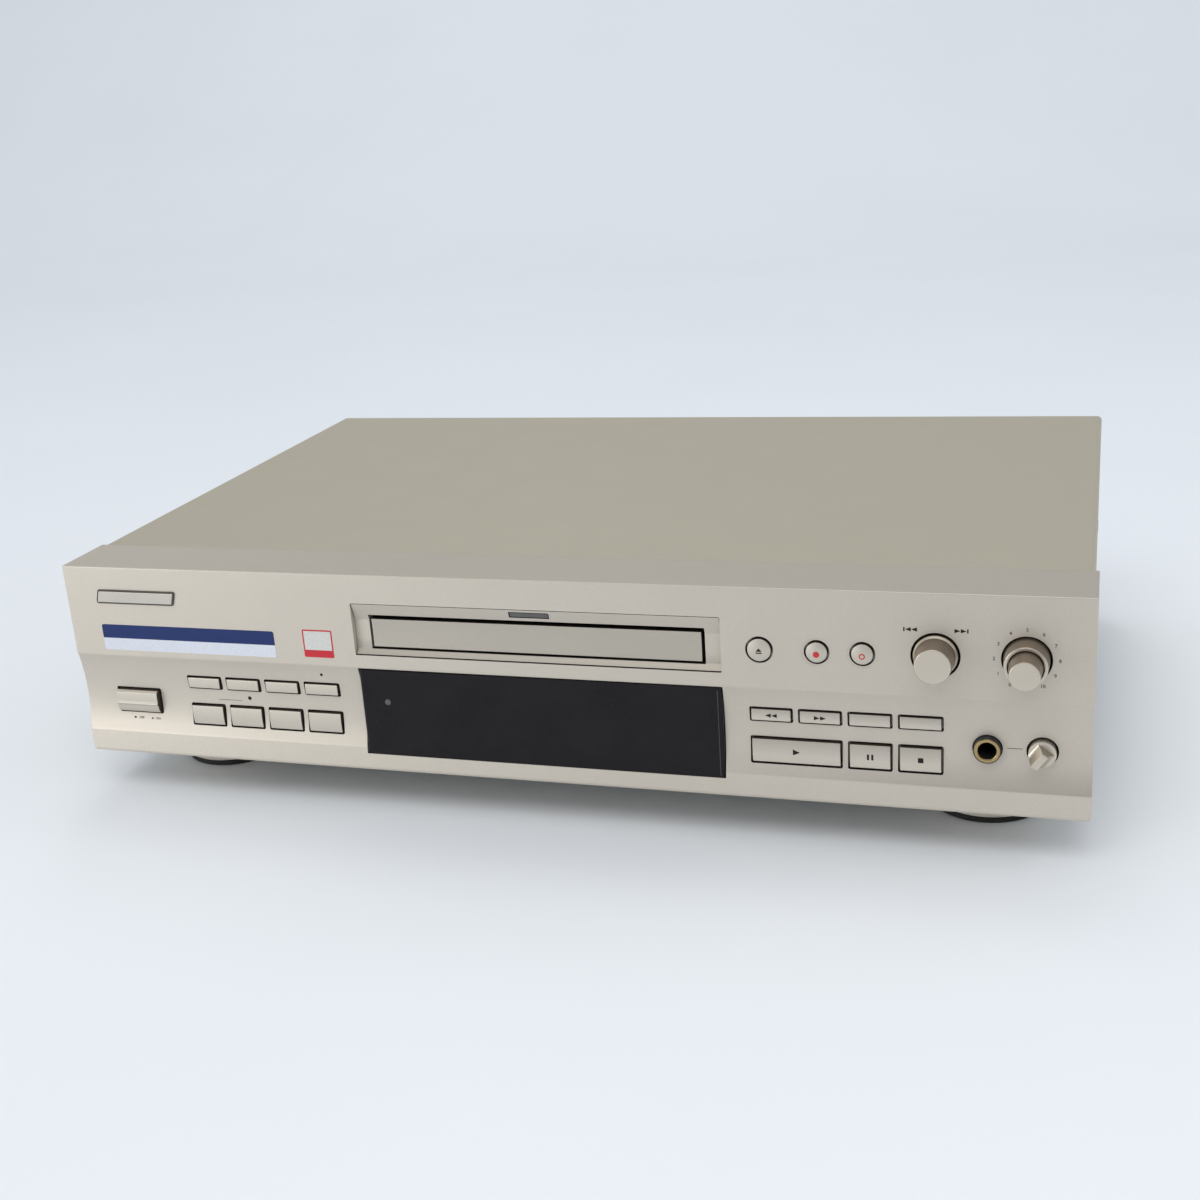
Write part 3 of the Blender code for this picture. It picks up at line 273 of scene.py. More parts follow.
def smoked():
    """Smoked acrylic: near black with a violet cast, polished, with the faintest wipe marks."""
    k = Nodes("smoked_acrylic")
    cloud = k.noise(55.0, 3.0, 0.6)
    k.colour(k.mix(k.span(cloud, 0.0, 1.0), (0.0055, 0.0044, 0.0062), (0.0095, 0.0074, 0.0098)))
    k.rough(k.span(k.noise(240.0, 3.0, 0.6), 0.10, 0.17))
    k.set(IOR=1.30)
    return k.m


def circuit_board():
    """Green solder mask with the pale shadow of tracks under it."""
    k = Nodes("circuit_board")
    tracks = k.node("ShaderNodeTexBrick", Scale=240.0)
    tracks.inputs["Mortar Size"].default_value = 0.03
    k.link(k.place.outputs["Object"], tracks.inputs["Vector"])
    k.colour(k.mix(tracks.outputs["Fac"], (0.020, 0.105, 0.045), (0.050, 0.185, 0.085)))
    k.rough(k.span(k.noise(400.0), 0.30, 0.42))
    return k.m


def laminations():
    """A transformer's stacked plates under varnish."""
    k = Nodes("transformer_core")
    plates = k.noise(700.0, 1.0, 0.5, (1.0, 0.03, 0.03))
    k.colour(k.mix(k.span(plates, 0.0, 1.0), (0.070, 0.056, 0.044), (0.150, 0.125, 0.100)))
    k.rough(k.span(plates, 0.38, 0.52))
    k.bump(plates, 0.4, 0.0001)
    k.set(Metallic=0.5)
    return k.m


def disc_surface():
    k = Nodes("sled_steel")
    grain = k.noise(1400.0, 2.0, 0.6, (1.0, 30.0, 1.0))
    k.colour(k.mix(k.span(grain, 0.0, 1.0), (0.40, 0.40, 0.41), (0.52, 0.52, 0.52)))
    k.rough(k.span(grain, 0.30, 0.44))
    k.set(Metallic=1.0)
    return k.m


SMOKED, BOARD, CORE, SLED = smoked(), circuit_board(), laminations(), disc_surface()


# ------------------------------------------------------------------ modelling kit, in mm
def place(name, mesh, mat, body="cabinet", stands_for=(), angle=32, behind=None, is_behind=None, profile=None):
    """Links a finished mesh, rides it on its body and paints it. behind is a second material for the faces that is_behind picks,
    profile gives the depth of a curved front, whose shading then follows it exactly."""
    mesh.name = name
    obj = bpy.data.objects.new(name, mesh)
    bpy.context.scene.collection.objects.link(obj)
    mesh.materials.clear()
    mesh.materials.append(mat)
    if behind:
        mesh.materials.append(behind)
        for face in mesh.polygons:
            face.material_index = int(is_behind(face.center / MM, face.normal))
    else:
        for face in mesh.polygons:
            face.material_index = 0
    mesh.shade_smooth()
    mesh.set_sharp_from_angle(angle=math.radians(angle))
    # the large faces set the shading, so that they stay flat beside their small radii
    even = obj.modifiers.new("even", "WEIGHTED_NORMAL")
    even.mode, even.keep_sharp, even.weight = "FACE_AREA", True, 80
    bpy.context.view_layer.update()
    shaded = bpy.data.meshes.new_from_object(obj.evaluated_get(bpy.context.evaluated_depsgraph_get()))
    obj.modifiers.clear()
    obj.data = shaded
    bpy.data.meshes.remove(mesh)
    if profile:
        normals = [Vector(n.vector) for n in shaded.corner_normals]
        for face in shaded.polygons:
            if face.normal.y < -0.93 and abs(face.center.y / MM - YF - profile(up(face.center.z / MM))) < 0.06:
                for k in face.loop_indices:
                    d = up(shaded.vertices[shaded.loops[k].vertex_index].co.z / MM)
                    normals[k] = Vector((0, -1, -(profile(d + 0.2) - profile(d - 0.2)) / 0.4)).normalized()
        shaded.normals_split_custom_set(normals)
    shaded.name = name
    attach(obj, body)
    if stands_for:
        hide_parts(*stands_for)
    return obj


def to_mesh(bm, name="shape"):
    bmesh.ops.recalc_face_normals(bm, faces=bm.faces)
    mesh = bpy.data.meshes.new(name)
    bm.to_mesh(mesh)
    bm.free()
    return mesh


def scratch(mesh):
    obj = bpy.data.objects.new("scratch", mesh)
    bpy.context.scene.collection.objects.link(obj)
    return obj


def settle(obj):
    """The object's mesh with its modifiers applied; the object is removed."""
    bpy.context.view_layer.update()
    mesh = bpy.data.meshes.new_from_object(obj.evaluated_get(bpy.context.evaluated_depsgraph_get()))
    bpy.data.objects.remove(obj, do_unlink=True)
    return mesh


def boolean(mesh, others, operation):
    """A mesh with each of the others joined on or cut away."""
    base = scratch(mesh)
    helpers = [scratch(m) for m in others]
    for h in helpers:
        m = base.modifiers.new("b", "BOOLEAN")
        m.operation, m.object, m.solver = operation, h, "EXACT"
    made = settle(base)
    for h in helpers:
        bpy.data.objects.remove(h, do_unlink=True)
    return made


def cut(mesh, *others):
    return boolean(mesh, others, "DIFFERENCE")


def join(mesh, *others):
    return boolean(mesh, others, "UNION")


def rounded(mesh, width, segments=3, angle=35):
    obj = scratch(mesh)
    m = obj.modifiers.new("r", "BEVEL")
    m.width, m.segments = width * MM, segments
    m.limit_method, m.angle_limit = "ANGLE", math.radians(angle)
    return settle(obj)


def fillet(points, radius, steps=4, closed=True):
    """The outline with its corners turned into arcs. radius is one number or one for each corner."""
    out, n = [], len(points)
    for i, p in enumerate(points):
        r = radius[i] if isinstance(radius, (list, tuple)) else radius
        p = Vector(p)
        if r <= 0 or (not closed and i in (0, n - 1)):
            out.append((p.x, p.y))
            continue
        a, b = Vector(points[i - 1]) - p, Vector(points[(i + 1) % n]) - p
        la, lb = a.length, b.length
        a.normalize()
        b.normalize()
        half = math.acos(max(-1.0, min(1.0, a.dot(b)))) / 2
        if half > math.radians(88) or half < math.radians(2):
            out.append((p.x, p.y))
            continue
        t = min(r / math.tan(half), 0.49 * la, 0.49 * lb)
        r = t * math.tan(half)
        centre = p + (a + b).normalized() * (r / math.sin(half))
        s, e = p + a * t - centre, p + b * t - centre
        a0, a1 = math.atan2(s.y, s.x), math.atan2(e.y, e.x)
        sweep = (a1 - a0 + math.pi) % (2 * math.pi) - math.pi
        out += [(centre.x + r * math.cos(a0 + sweep * k / steps), centre.y + r * math.sin(a0 + sweep * k / steps)) for k in range(steps + 1)]
    return out


def rect(x0, x1, z0, z1, r=0.0, steps=4):
    pts = [(x0, z0), (x1, z0), (x1, z1), (x0, z1)]
    return fillet(pts, r, steps) if r else pts


def ring(x, z, r, n=48, start=0.0):
    return [(x + r * math.cos(start + 2 * math.pi * k / n), z + r * math.sin(start + 2 * math.pi * k / n)) for k in range(n)]


def shrunk(points, by):
    """A closed outline moved inwards."""
    area = sum(a[0] * b[1] - b[0] * a[1] for a, b in zip(points, points[1:] + points[:1])) / 2
    side = 1.0 if area > 0 else -1.0
    out, n = [], len(points)
    for i, p in enumerate(points):
        p, before, after = Vector(p), Vector(points[i - 1]), Vector(points[(i + 1) % n])
        u, v = (p - before).normalized(), (after - p).normalized()
        nu, nv = Vector((-u.y, u.x)) * side, Vector((-v.y, v.x)) * side
        bend = nu + nv
        bend = bend / max(0.35, bend.dot(nu)) if bend.length > 1e-6 else nu
        out.append((p.x + bend.x * by, p.y + bend.y * by))
    return out


AXES = {"X": lambda u, v, w: (w, u, v), "Y": lambda u, v, w: (u, w, v), "Z": lambda u, v, w: (u, v, w)}


def prism(points, axis, low, high, soft=0.0, steps=3, soft_low=True, soft_high=True):
    """A closed outline with thickness along an axis. soft rounds its two ends."""
    put = AXES[axis]
    if soft:
        quarter = [math.pi / 2 * k / steps for k in range(steps + 1)]
        ends = [(low + soft * (1 - math.cos(t)), soft * (1 - math.sin(t))) for t in quarter] if soft_low else [(low, 0.0)]
        far = [(high - soft * (1 - math.cos(t)), soft * (1 - math.sin(t))) for t in reversed(quarter)] if soft_high else [(high, 0.0)]
        sections = ends + far
    else:
        sections = [(low, 0.0), (high, 0.0)]
    bm = bmesh.new()
    rings = []
    for w, inset in sections:
        pts = shrunk(points, inset) if inset > 1e-9 else points
        rings.append([bm.verts.new(Vector(put(u, v, w)) * MM) for u, v in pts])
    for a, b in zip(rings, rings[1:]):
        for k in range(len(a)):
            j = (k + 1) % len(a)
            bm.faces.new((a[k], a[j], b[j], b[k]))
    bm.faces.new(rings[0])
    bm.faces.new(rings[-1])
    return to_mesh(bm)


def box(x, y, z, soft=0.0, segments=2):
    mesh = prism([(x[0], y[0]), (x[1], y[0]), (x[1], y[1]), (x[0], y[1])], "Z", z[0], z[1])
    return rounded(mesh, soft, segments) if soft else mesh


def lathe(profile, at=(0, 0, 0), facing="Z", sides=48, closed=False):
    """A turned shape: (radius, height) in mm. facing -Y points its top at the user."""
    bm = bmesh.new()
    rings = []
    for r, h in profile:
        if r < 1e-6:
            rings.append([bm.verts.new((0, 0, h))])
        else:
            rings.append([bm.verts.new((r * math.cos(2 * math.pi * k / sides), r * math.sin(2 * math.pi * k / sides), h)) for k in range(sides)])
    for a, b in zip(rings, rings[1:] + ([rings[0]] if closed else [])):
        for k in range(sides):
            j = (k + 1) % sides
            if len(a) == 1 and len(b) == 1:
                continue
            if len(a) == 1:
                bm.faces.new((a[0], b[k], b[j]))
            elif len(b) == 1:
                bm.faces.new((a[k], a[j], b[0]))
            else:
                bm.faces.new((a[k], a[j], b[j], b[k]))
    way = {"Z": 0.0, "-Y": math.pi / 2, "+Y": -math.pi / 2}[facing]
    where = Matrix.Translation(Vector(at) * MM) @ Matrix.Rotation(way, 4, "X") @ Matrix.Scale(MM, 4)
    bmesh.ops.transform(bm, matrix=where, verts=bm.verts)
    return to_mesh(bm)


def together(*meshes):
    """Several separate meshes as one."""
    bm = bmesh.new()
    for m in meshes:
        bm.from_mesh(m)
    mesh = bpy.data.meshes.new("shape")
    bm.to_mesh(mesh)
    bm.free()
    return mesh


def moved(mesh, matrix):
    mesh.transform(matrix)
    return mesh


# ------------------------------------------------------------------ the front's curves
SCOOP = [(39.5, 0.0), (43.0, 0.95), (47.0, 1.65), (51.0, 2.12), (55.0, 2.38), (59.0, 2.45),
         (63.0, 2.32), (67.0, 1.95), (70.5, 1.40), (73.5, 0.78), (75.5, 0.34)]
DISH = [(12.2, 0.15), (14.0, 0.75), (17.6, 2.05), (21.0, 3.15), (24.0, 3.85), (26.5, 4.10), (29.0, 3.85),
        (31.8, 2.75), (33.2, 1.65), (34.4, 0.35)]


def smooth_line(table, at):
    """Hermite reading of a table, with the slope at each point taken from its neighbours."""
    if at <= table[0][0]:
        return table[0][1]
    if at >= table[-1][0]:
        return table[-1][1]
    for i in range(len(table) - 1):
        (a, u), (b, v) = table[i], table[i + 1]
        if a <= at <= b:
            before, after = table[max(i - 1, 0)], table[min(i + 2, len(table) - 1)]
            su = (v - before[1]) / (b - before[0])
            sv = (after[1] - u) / (after[0] - a)
            h, t = b - a, (at - a) / (b - a)
            return ((2 * t ** 3 - 3 * t * t + 1) * u + (t ** 3 - 2 * t * t + t) * h * su
                    + (3 * t * t - 2 * t ** 3) * v + (t ** 3 - t * t) * h * sv)


def depth(down):
    """How far the panel's face lies behind its upper plane."""
    if down <= 39.5:
        return 0.0
    if down >= 76.0:
        return 0.15
    if down > 75.5:
        return 0.34 + (0.15 - 0.34) * (down - 75.5) / 0.5
    return smooth_line(SCOOP, down)


def dish(down):
    return smooth_line(DISH, down)


# ------------------------------------------------------------------ front panel
RECT_BUTTONS = {
    "power_button": ((-194.4, -172.6, 55.4, 67.0), 2.4),
    "input_selector_button": ((-158.2, -141.7, 48.2, 54.4), 1.0),
    "monitor_button": ((-139.7, -123.2, 48.2, 54.4), 1.0),
    "time_button": ((-121.2, -104.7, 48.2, 54.4), 1.0),
    "display_off_button": ((-102.7, -86.2, 48.2, 54.4), 1.0),
    "auto_track_button": ((-158.2, -141.7, 61.0, 71.0), 1.0),
    "write_button": ((-139.7, -123.2, 61.0, 71.0), 1.0),
    "finalize_button": ((-121.2, -104.7, 61.0, 71.0), 1.0),
    "erase_button": ((-102.7, -86.2, 61.0, 71.0), 1.0),
    "search_back_button": ((85.7, 102.3, 48.2, 54.4), 0.9),
    "search_forward_button": ((104.2, 120.8, 48.2, 54.4), 0.9),
    "repeat_button": ((122.7, 139.3, 48.2, 54.4), 0.9),
    "synchro_button": ((141.2, 157.8, 48.2, 54.4), 0.9),
    "play_button": ((85.7, 120.8, 60.4, 71.4), 0.9),
    "pause_button": ((122.7, 139.3, 60.4, 71.4), 0.9),
    "stop_button": ((141.2, 157.8, 60.4, 71.4), 0.9),
}
ROUND_BUTTONS = {
    "eject_button": ((90.7, 24.4, 5.25), 1.2),
    "record_button": ((112.1, 24.4, 4.75), 1.2),
    "record_mute_button": ((128.8, 24.4, 4.75), 1.2),
}


def front_panel():
    downs = [39.5 + 1.0 * k for k in range(36)] + [75.5]
    face = [(YF + depth(d), up(d)) for d in downs] + [(YF + 0.15, up(76.0))]
    top = fillet([(YF + PANEL_WRAP, HEIGHT), (YF, HEIGHT), (YF, up(39.5))], [0, 0.5, 0], 4, closed=False)[:-1]
    low = fillet([(YF + 0.15, up(76.0)), (YF + 0.15, Z_BOTTOM), (YF + PANEL_WRAP, Z_BOTTOM)], [0, 1.9, 0], 5, closed=False)[1:]
    solid = prism(top + face + low, "X", -WIDTH / 2, WIDTH / 2, soft=0.45)
    inner = ([(YF + PANEL_WRAP + 5, HEIGHT - 2.2), (YF + WALL, HEIGHT - 2.2), (YF + WALL, up(39.5))]
             + [(YF + depth(d) + WALL, up(d)) for d in downs[1::5]]
             + [(YF + WALL + 0.2, up(77.5)), (YF + WALL + 0.2, Z_BOTTOM + 2.2), (YF + PANEL_WRAP + 5, Z_BOTTOM + 2.2)])
    holes = [prism(inner, "X", -WIDTH / 2 + 2.2, WIDTH / 2 - 2.2)]
    for (x0, x1, t, l), _ in RECT_BUTTONS.values():
        holes.append(prism(rect(x0, x1, up(l), up(t), 0.75), "Y", YF - 3, YF + 9))
    holes.append(prism(rect(-BEZEL_X, BEZEL_X, up(BEZEL_LOW), up(BEZEL_TOP), 0.5), "Y", YF - 3, YF + 9))
    holes.append(prism(rect(-WINDOW_X, WINDOW_X, up(WINDOW_LOW), up(WINDOW_TOP), 0.35), "Y", YF - 3, YF + 9))
    for (x, d, r), _ in ROUND_BUTTONS.values():
        holes.append(prism(ring(x, up(d), r, 64), "Y", YF - 3, YF + 9))
    for x, d, r in ((JACK_X, JACK_DOWN, 5.4), (LEVEL_X, JACK_DOWN, 5.65), (DIGITAL_X, KNOB_DOWN, RECESS_R), (ANALOG_X, KNOB_DOWN, RECESS_R)):
        holes.append(prism(ring(x, up(d), r, 80), "Y", YF - 3, YF + 9))
    # a shallow ring is turned round the two small round holes
    for x, d in ((112.1, 24.4), (128.8, 24.4)):
        holes.append(prism(ring(x, up(d), 5.6, 64), "Y", YF - 3, YF + 0.14))
    for s in (-1, 1):
        edge, r = s * WIDTH / 2, 2.3
        arc = [(edge - s * r * (1 - math.sin(a)), Z_BOTTOM + r * (1 - math.cos(a))) for a in (math.radians(v) for v in range(0, 91, 10))]
        holes.append(prism([(edge - s * r, Z_BOTTOM - 1.0)] + arc + [(edge + s * 1.0, Z_BOTTOM + r), (edge + s * 1.0, Z_BOTTOM - 1.0)], "Y", YF - 3, YF + PANEL_WRAP + 3))
    mesh = cut(solid, *holes)
    # the moulding's openings have a small radius at the face
    bm = bmesh.new()
    bm.from_mesh(mesh)
    bmesh.ops.remove_doubles(bm, verts=bm.verts, dist=1e-7)
    edges = []
    for e in bm.edges:
        if len(e.link_faces) != 2:
            continue
        mid = (e.verts[0].co + e.verts[1].co) / 2 / MM
        if abs(mid.x) > 209 or not Z_BOTTOM + 4 < mid.z < HEIGHT - 4:
            continue
        if mid.y > YF + depth(up(mid.z)) + 0.3:
            continue
        n0, n1 = (f.normal for f in e.link_faces)
        if n0.dot(n1) < 0.5 and max(-n0.y, -n1.y) > 0.85 and min(abs(n0.y), abs(n1.y)) < 0.35:
            edges.append(e)
    bmesh.ops.bevel(bm, geom=edges, offset=0.12 * MM, offset_type="OFFSET", segments=2, profile=0.5, affect="EDGES", clamp_overlap=True)
    mesh = to_mesh(bm)
    def inner(c, n):
        # the sides of the tray surround's opening keep the panel's paint, the button openings' walls take the near
        # black: painted shade in the gaps
        if abs(abs(c.x) - BEZEL_X) < 0.4 and up(BEZEL_LOW) - 0.5 < c.z < up(BEZEL_TOP) + 0.5 and abs(n.x) > 0.9:
            return False
        return abs(c.x) < 209.3 and Z_BOTTOM + 1.0 < c.z < HEIGHT - 1.0 and c.y > YF + depth(up(c.z)) + 0.18
    return place("panel_moulding", mesh, PANEL_PAINT_LIT_AND_SHADED, stands_for=("front_panel",), angle=28, behind=GAP_SHADE, is_behind=inner)


front_panel()


# ------------------------------------------------------------------ push buttons
def cap_depth(name, x, down):
    """Height of a button's face in front of YF, negative towards the user, as its own crown gives it."""
    (x0, x1, t, l), proud = RECT_BUTTONS[name]
    middle = (depth(t) + depth(l)) / 2 - proud
    v = (down - (t + l) / 2) / ((l - t) / 2)
    return middle + (0.34 if l - t > 8 else 0.20) * v * v


def rect_button(name):
    (x0, x1, t, l), proud = RECT_BUTTONS[name]
    g = GAP
    shoulder = YF + max(depth(t), depth(l), depth((t + l) / 2)) + WALL + 0.3
    n = 10
    face = [(YF + cap_depth(name, 0, d), up(d)) for d in (t + g + (l - t - 2 * g) * k / n for k in range(n + 1))]
    shape = face + [(shoulder + 0.6, up(l) + g), (shoulder + 0.6, up(t) - g)]
    cap = rounded(prism(shape, "X", x0 + g, x1 - g), 0.24, 3, 40)
    mid_x, mid_z = (x0 + x1) / 2, up((t + l) / 2)
    tail = box((x0 - 0.7, x1 + 0.7), (shoulder, shoulder + 1.3), (up(l) - 0.7, up(t) + 0.7))
    stem = box((mid_x - 1.5, mid_x + 1.5), (shoulder + 0.8, BOARD_Y - 4.5), (mid_z - 1.5, mid_z + 1.5))
    mesh = join(cap, tail, stem)
    front = YF + cap_depth(name, 0, t)
    # the right-hand caps take the lighter paint with painted shade on their tops
    paint = CHAMPAGNE if x0 < 0 else CAP_PAINTS_LIT_AND_SHADED[int(t > 55)]
    return place(name + "_cap", mesh, paint, body=name, stands_for=(name,), angle=30,
                 behind=CAP_SIDE_SHADE, is_behind=lambda c, n: n.y > -0.30)


def power_button():
    (x0, x1, t, l), _ = RECT_BUTTONS["power_button"]
    g = GAP
    base = YF + 2.5 + WALL + 0.35
    shape = [(YF + 0.85, up(t) - g), (YF - 0.30, up(t) - g - 0.7), (YF - 0.45, up(59.0)), (YF - 0.42, up(61.2)), (YF - 0.85, up(61.75)),
             (YF - 0.85, up(62.15)), (YF - 0.30, up(62.7)), (YF - 0.02, up(64.6)), (YF + 0.35, up(l) + g + 0.7), (YF + 1.0, up(l) + g),
             (base + 0.6, up(l) + g), (base + 0.6, up(t) - g)]
    key = rounded(prism(shape, "X", x0 + g, x1 - g), 0.18, 3, 28)
    tail = box((x0 - 0.7, x1 + 0.7), (base, base + 1.3), (up(l) - 0.7, up(t) + 0.7))
    stem = box((-185.5, -181.5), (base + 0.8, BOARD_Y - 6.5), (up(63.2), up(59.2)))
    return place("power_key", join(key, tail, stem), CHAMPAGNE, body="power_button", stands_for=("power_button",), angle=30,
                 behind=CAP_SIDE_SHADE, is_behind=lambda c, n: n.y > -0.15)


def round_button(name):
    (x, d, r), proud = ROUND_BUTTONS[name]
    g = GAP
    edge = r - g
    dome = [(edge * k / 10, proud - 0.62 * (k / 10) ** 2.0) for k in range(0, 10)]
    rim = fillet([dome[-1], (edge, proud - 0.60), (edge, -2.8)], [0, 0.24, 0], 4, closed=False)[1:]
    profile = dome + rim + [(r + 0.9, -2.8), (r + 0.9, -4.1), (1.8, -4.1), (1.8, -9.5), (0, -9.5)]
    mesh = lathe(profile, (x, YF, up(d)), "-Y", 56)
    return place(name + "_cap", mesh, CHAMPAGNE, body=name, stands_for=(name,), angle=35,
                 behind=CAP_SIDE_SHADE, is_behind=lambda c, n: n.y > -0.30)


for name in RECT_BUTTONS:
    power_button() if name == "power_button" else rect_button(name)
for name in ROUND_BUTTONS:
    round_button(name)


# ------------------------------------------------------------------ tray surround, door, lamp lens, window
def tray_front():
    t, l = BEZEL_TOP + 0.3, BEZEL_LOW - 0.3
    n = 30
    face = [(YF + dish(d), up(d)) for d in (t + (l - t) * k / n for k in range(n + 1))]
    shape = face + [(YF + 6.5, up(l)), (YF + 6.5, up(t))]
    surround = prism(shape, "X", -BEZEL_X + 0.3, BEZEL_X - 0.3)
    surround = join(surround, box((-79, 79), (YF + 2.8, YF + 6.0), (up(37.3), up(9.2))))
    surround = cut(surround, prism(rect(-DOOR_X, DOOR_X, up(DOOR_LOW), up(DOOR_TOP), 0.3), "Y", YF - 5, YF + 12),
                   prism(rect(-8.3, 8.3, up(16.1), up(13.5), 0.3), "Y", YF - 5, YF + 12))
    bm = bmesh.new()
    bm.from_mesh(surround)
    bmesh.ops.remove_doubles(bm, verts=bm.verts, dist=1e-7)
    edges = []
    for e in bm.edges:
        if len(e.link_faces) == 2:
            mid = (e.verts[0].co + e.verts[1].co) / 2 / MM
            n0, n1 = (f.normal for f in e.link_faces)
            if mid.y < YF + dish(up(mid.z)) + 0.3 and n0.dot(n1) < 0.6 and max(-n0.y, -n1.y) > 0.6 and mid.z > up(35) and mid.z < up(12):
                edges.append(e)
    bmesh.ops.bevel(bm, geom=edges, offset=0.08 * MM, offset_type="OFFSET", segments=2, profile=0.5, affect="EDGES", clamp_overlap=True)
    place("tray_surround", to_mesh(bm), SURROUND_PAINT_SHADED, stands_for=("tray_bezel",), angle=28,
          behind=GAP_SHADE, is_behind=lambda c, n: c.y > YF + dish(up(c.z)) + 0.14, profile=dish)

    # the door is nearly flat, and has a wider gap over it
    t, l = DOOR_TOP + 1.75, DOOR_LOW - DOOR_GAP + 0.15
    face = [(YF + 2.15, up(t)), (YF + 2.30, up(t + 1.8)), (YF + 2.35, up(t + 3.6)), (YF + 2.37, up((t + l) / 2)),
            (YF + 2.35, up(l - 3.6)), (YF + 2.30, up(l - 1.8)), (YF + 2.20, up(l))]
    door = rounded(prism(face + [(YF + 8.0, up(l)), (YF + 8.0, up(t))], "X", -DOOR_X + DOOR_GAP, DOOR_X - DOOR_GAP), 0.15, 3, 40)
    place("tray_door_moulding", door, DOOR_PAINT_SHADED, body="tray", stands_for=("tray_door",), angle=30,
          behind=GAP_SHADE, is_behind=lambda c, n: n.y > -0.30)

    t, l = 13.8, 15.8
    face = [(YF + dish(d) + 0.05, up(d)) for d in (t, (t + l) / 2, l)]
    bar = rounded(prism(face + [(YF + 9.0, up(l)), (YF + 9.0, up(t))], "X", -8.0, 8.0), 0.25, 3, 50)
    place("lamp_bar", bar, LENS, stands_for=("tray_lamp_lens",))


def window():
    x0, x1 = -WINDOW_X + 0.3, WINDOW_X - 0.3
    z0, z1 = up(WINDOW_LOW - 0.3), up(WINDOW_TOP + 0.3)
    # the front edges turn back in a generous radius at each side and a small one above and below
    side = fillet([(x0, YF + 6.0), (x0, YF - 0.15), (x1, YF - 0.15), (x1, YF + 6.0)], [0, 1.5, 1.5, 0], 8)
    pane = rounded(prism(side, "Z", z0, z1), 0.35, 3, 60)
    pane = join(pane, box((-79, 79), (YF + 5.4, YF + 6.8), (up(81.4), up(37.9))))
    place("window_pane", pane, SMOKED, stands_for=("display_window",), angle=30)
    # the receiver behind the pane shows as a dim spot on it
    spot = prism(ring(-64.0, up(54.5), 1.25, 40), "Y", YF - 0.16, YF - 0.10)
    place("receiver_spot", spot, SENSOR)
    # a faint lighter line follows the pane's right edge: a painted highlight of its rounded edge
    line = prism(rect(x1 - 1.80, x1 - 1.52, z0 + 0.9, z1 - 1.3, 0.05), "Y", YF - 0.16, YF - 0.10)
    place("pane_edge_painted_highlight", line, PANE_EDGE_HIGHLIGHT)


tray_front()
window()


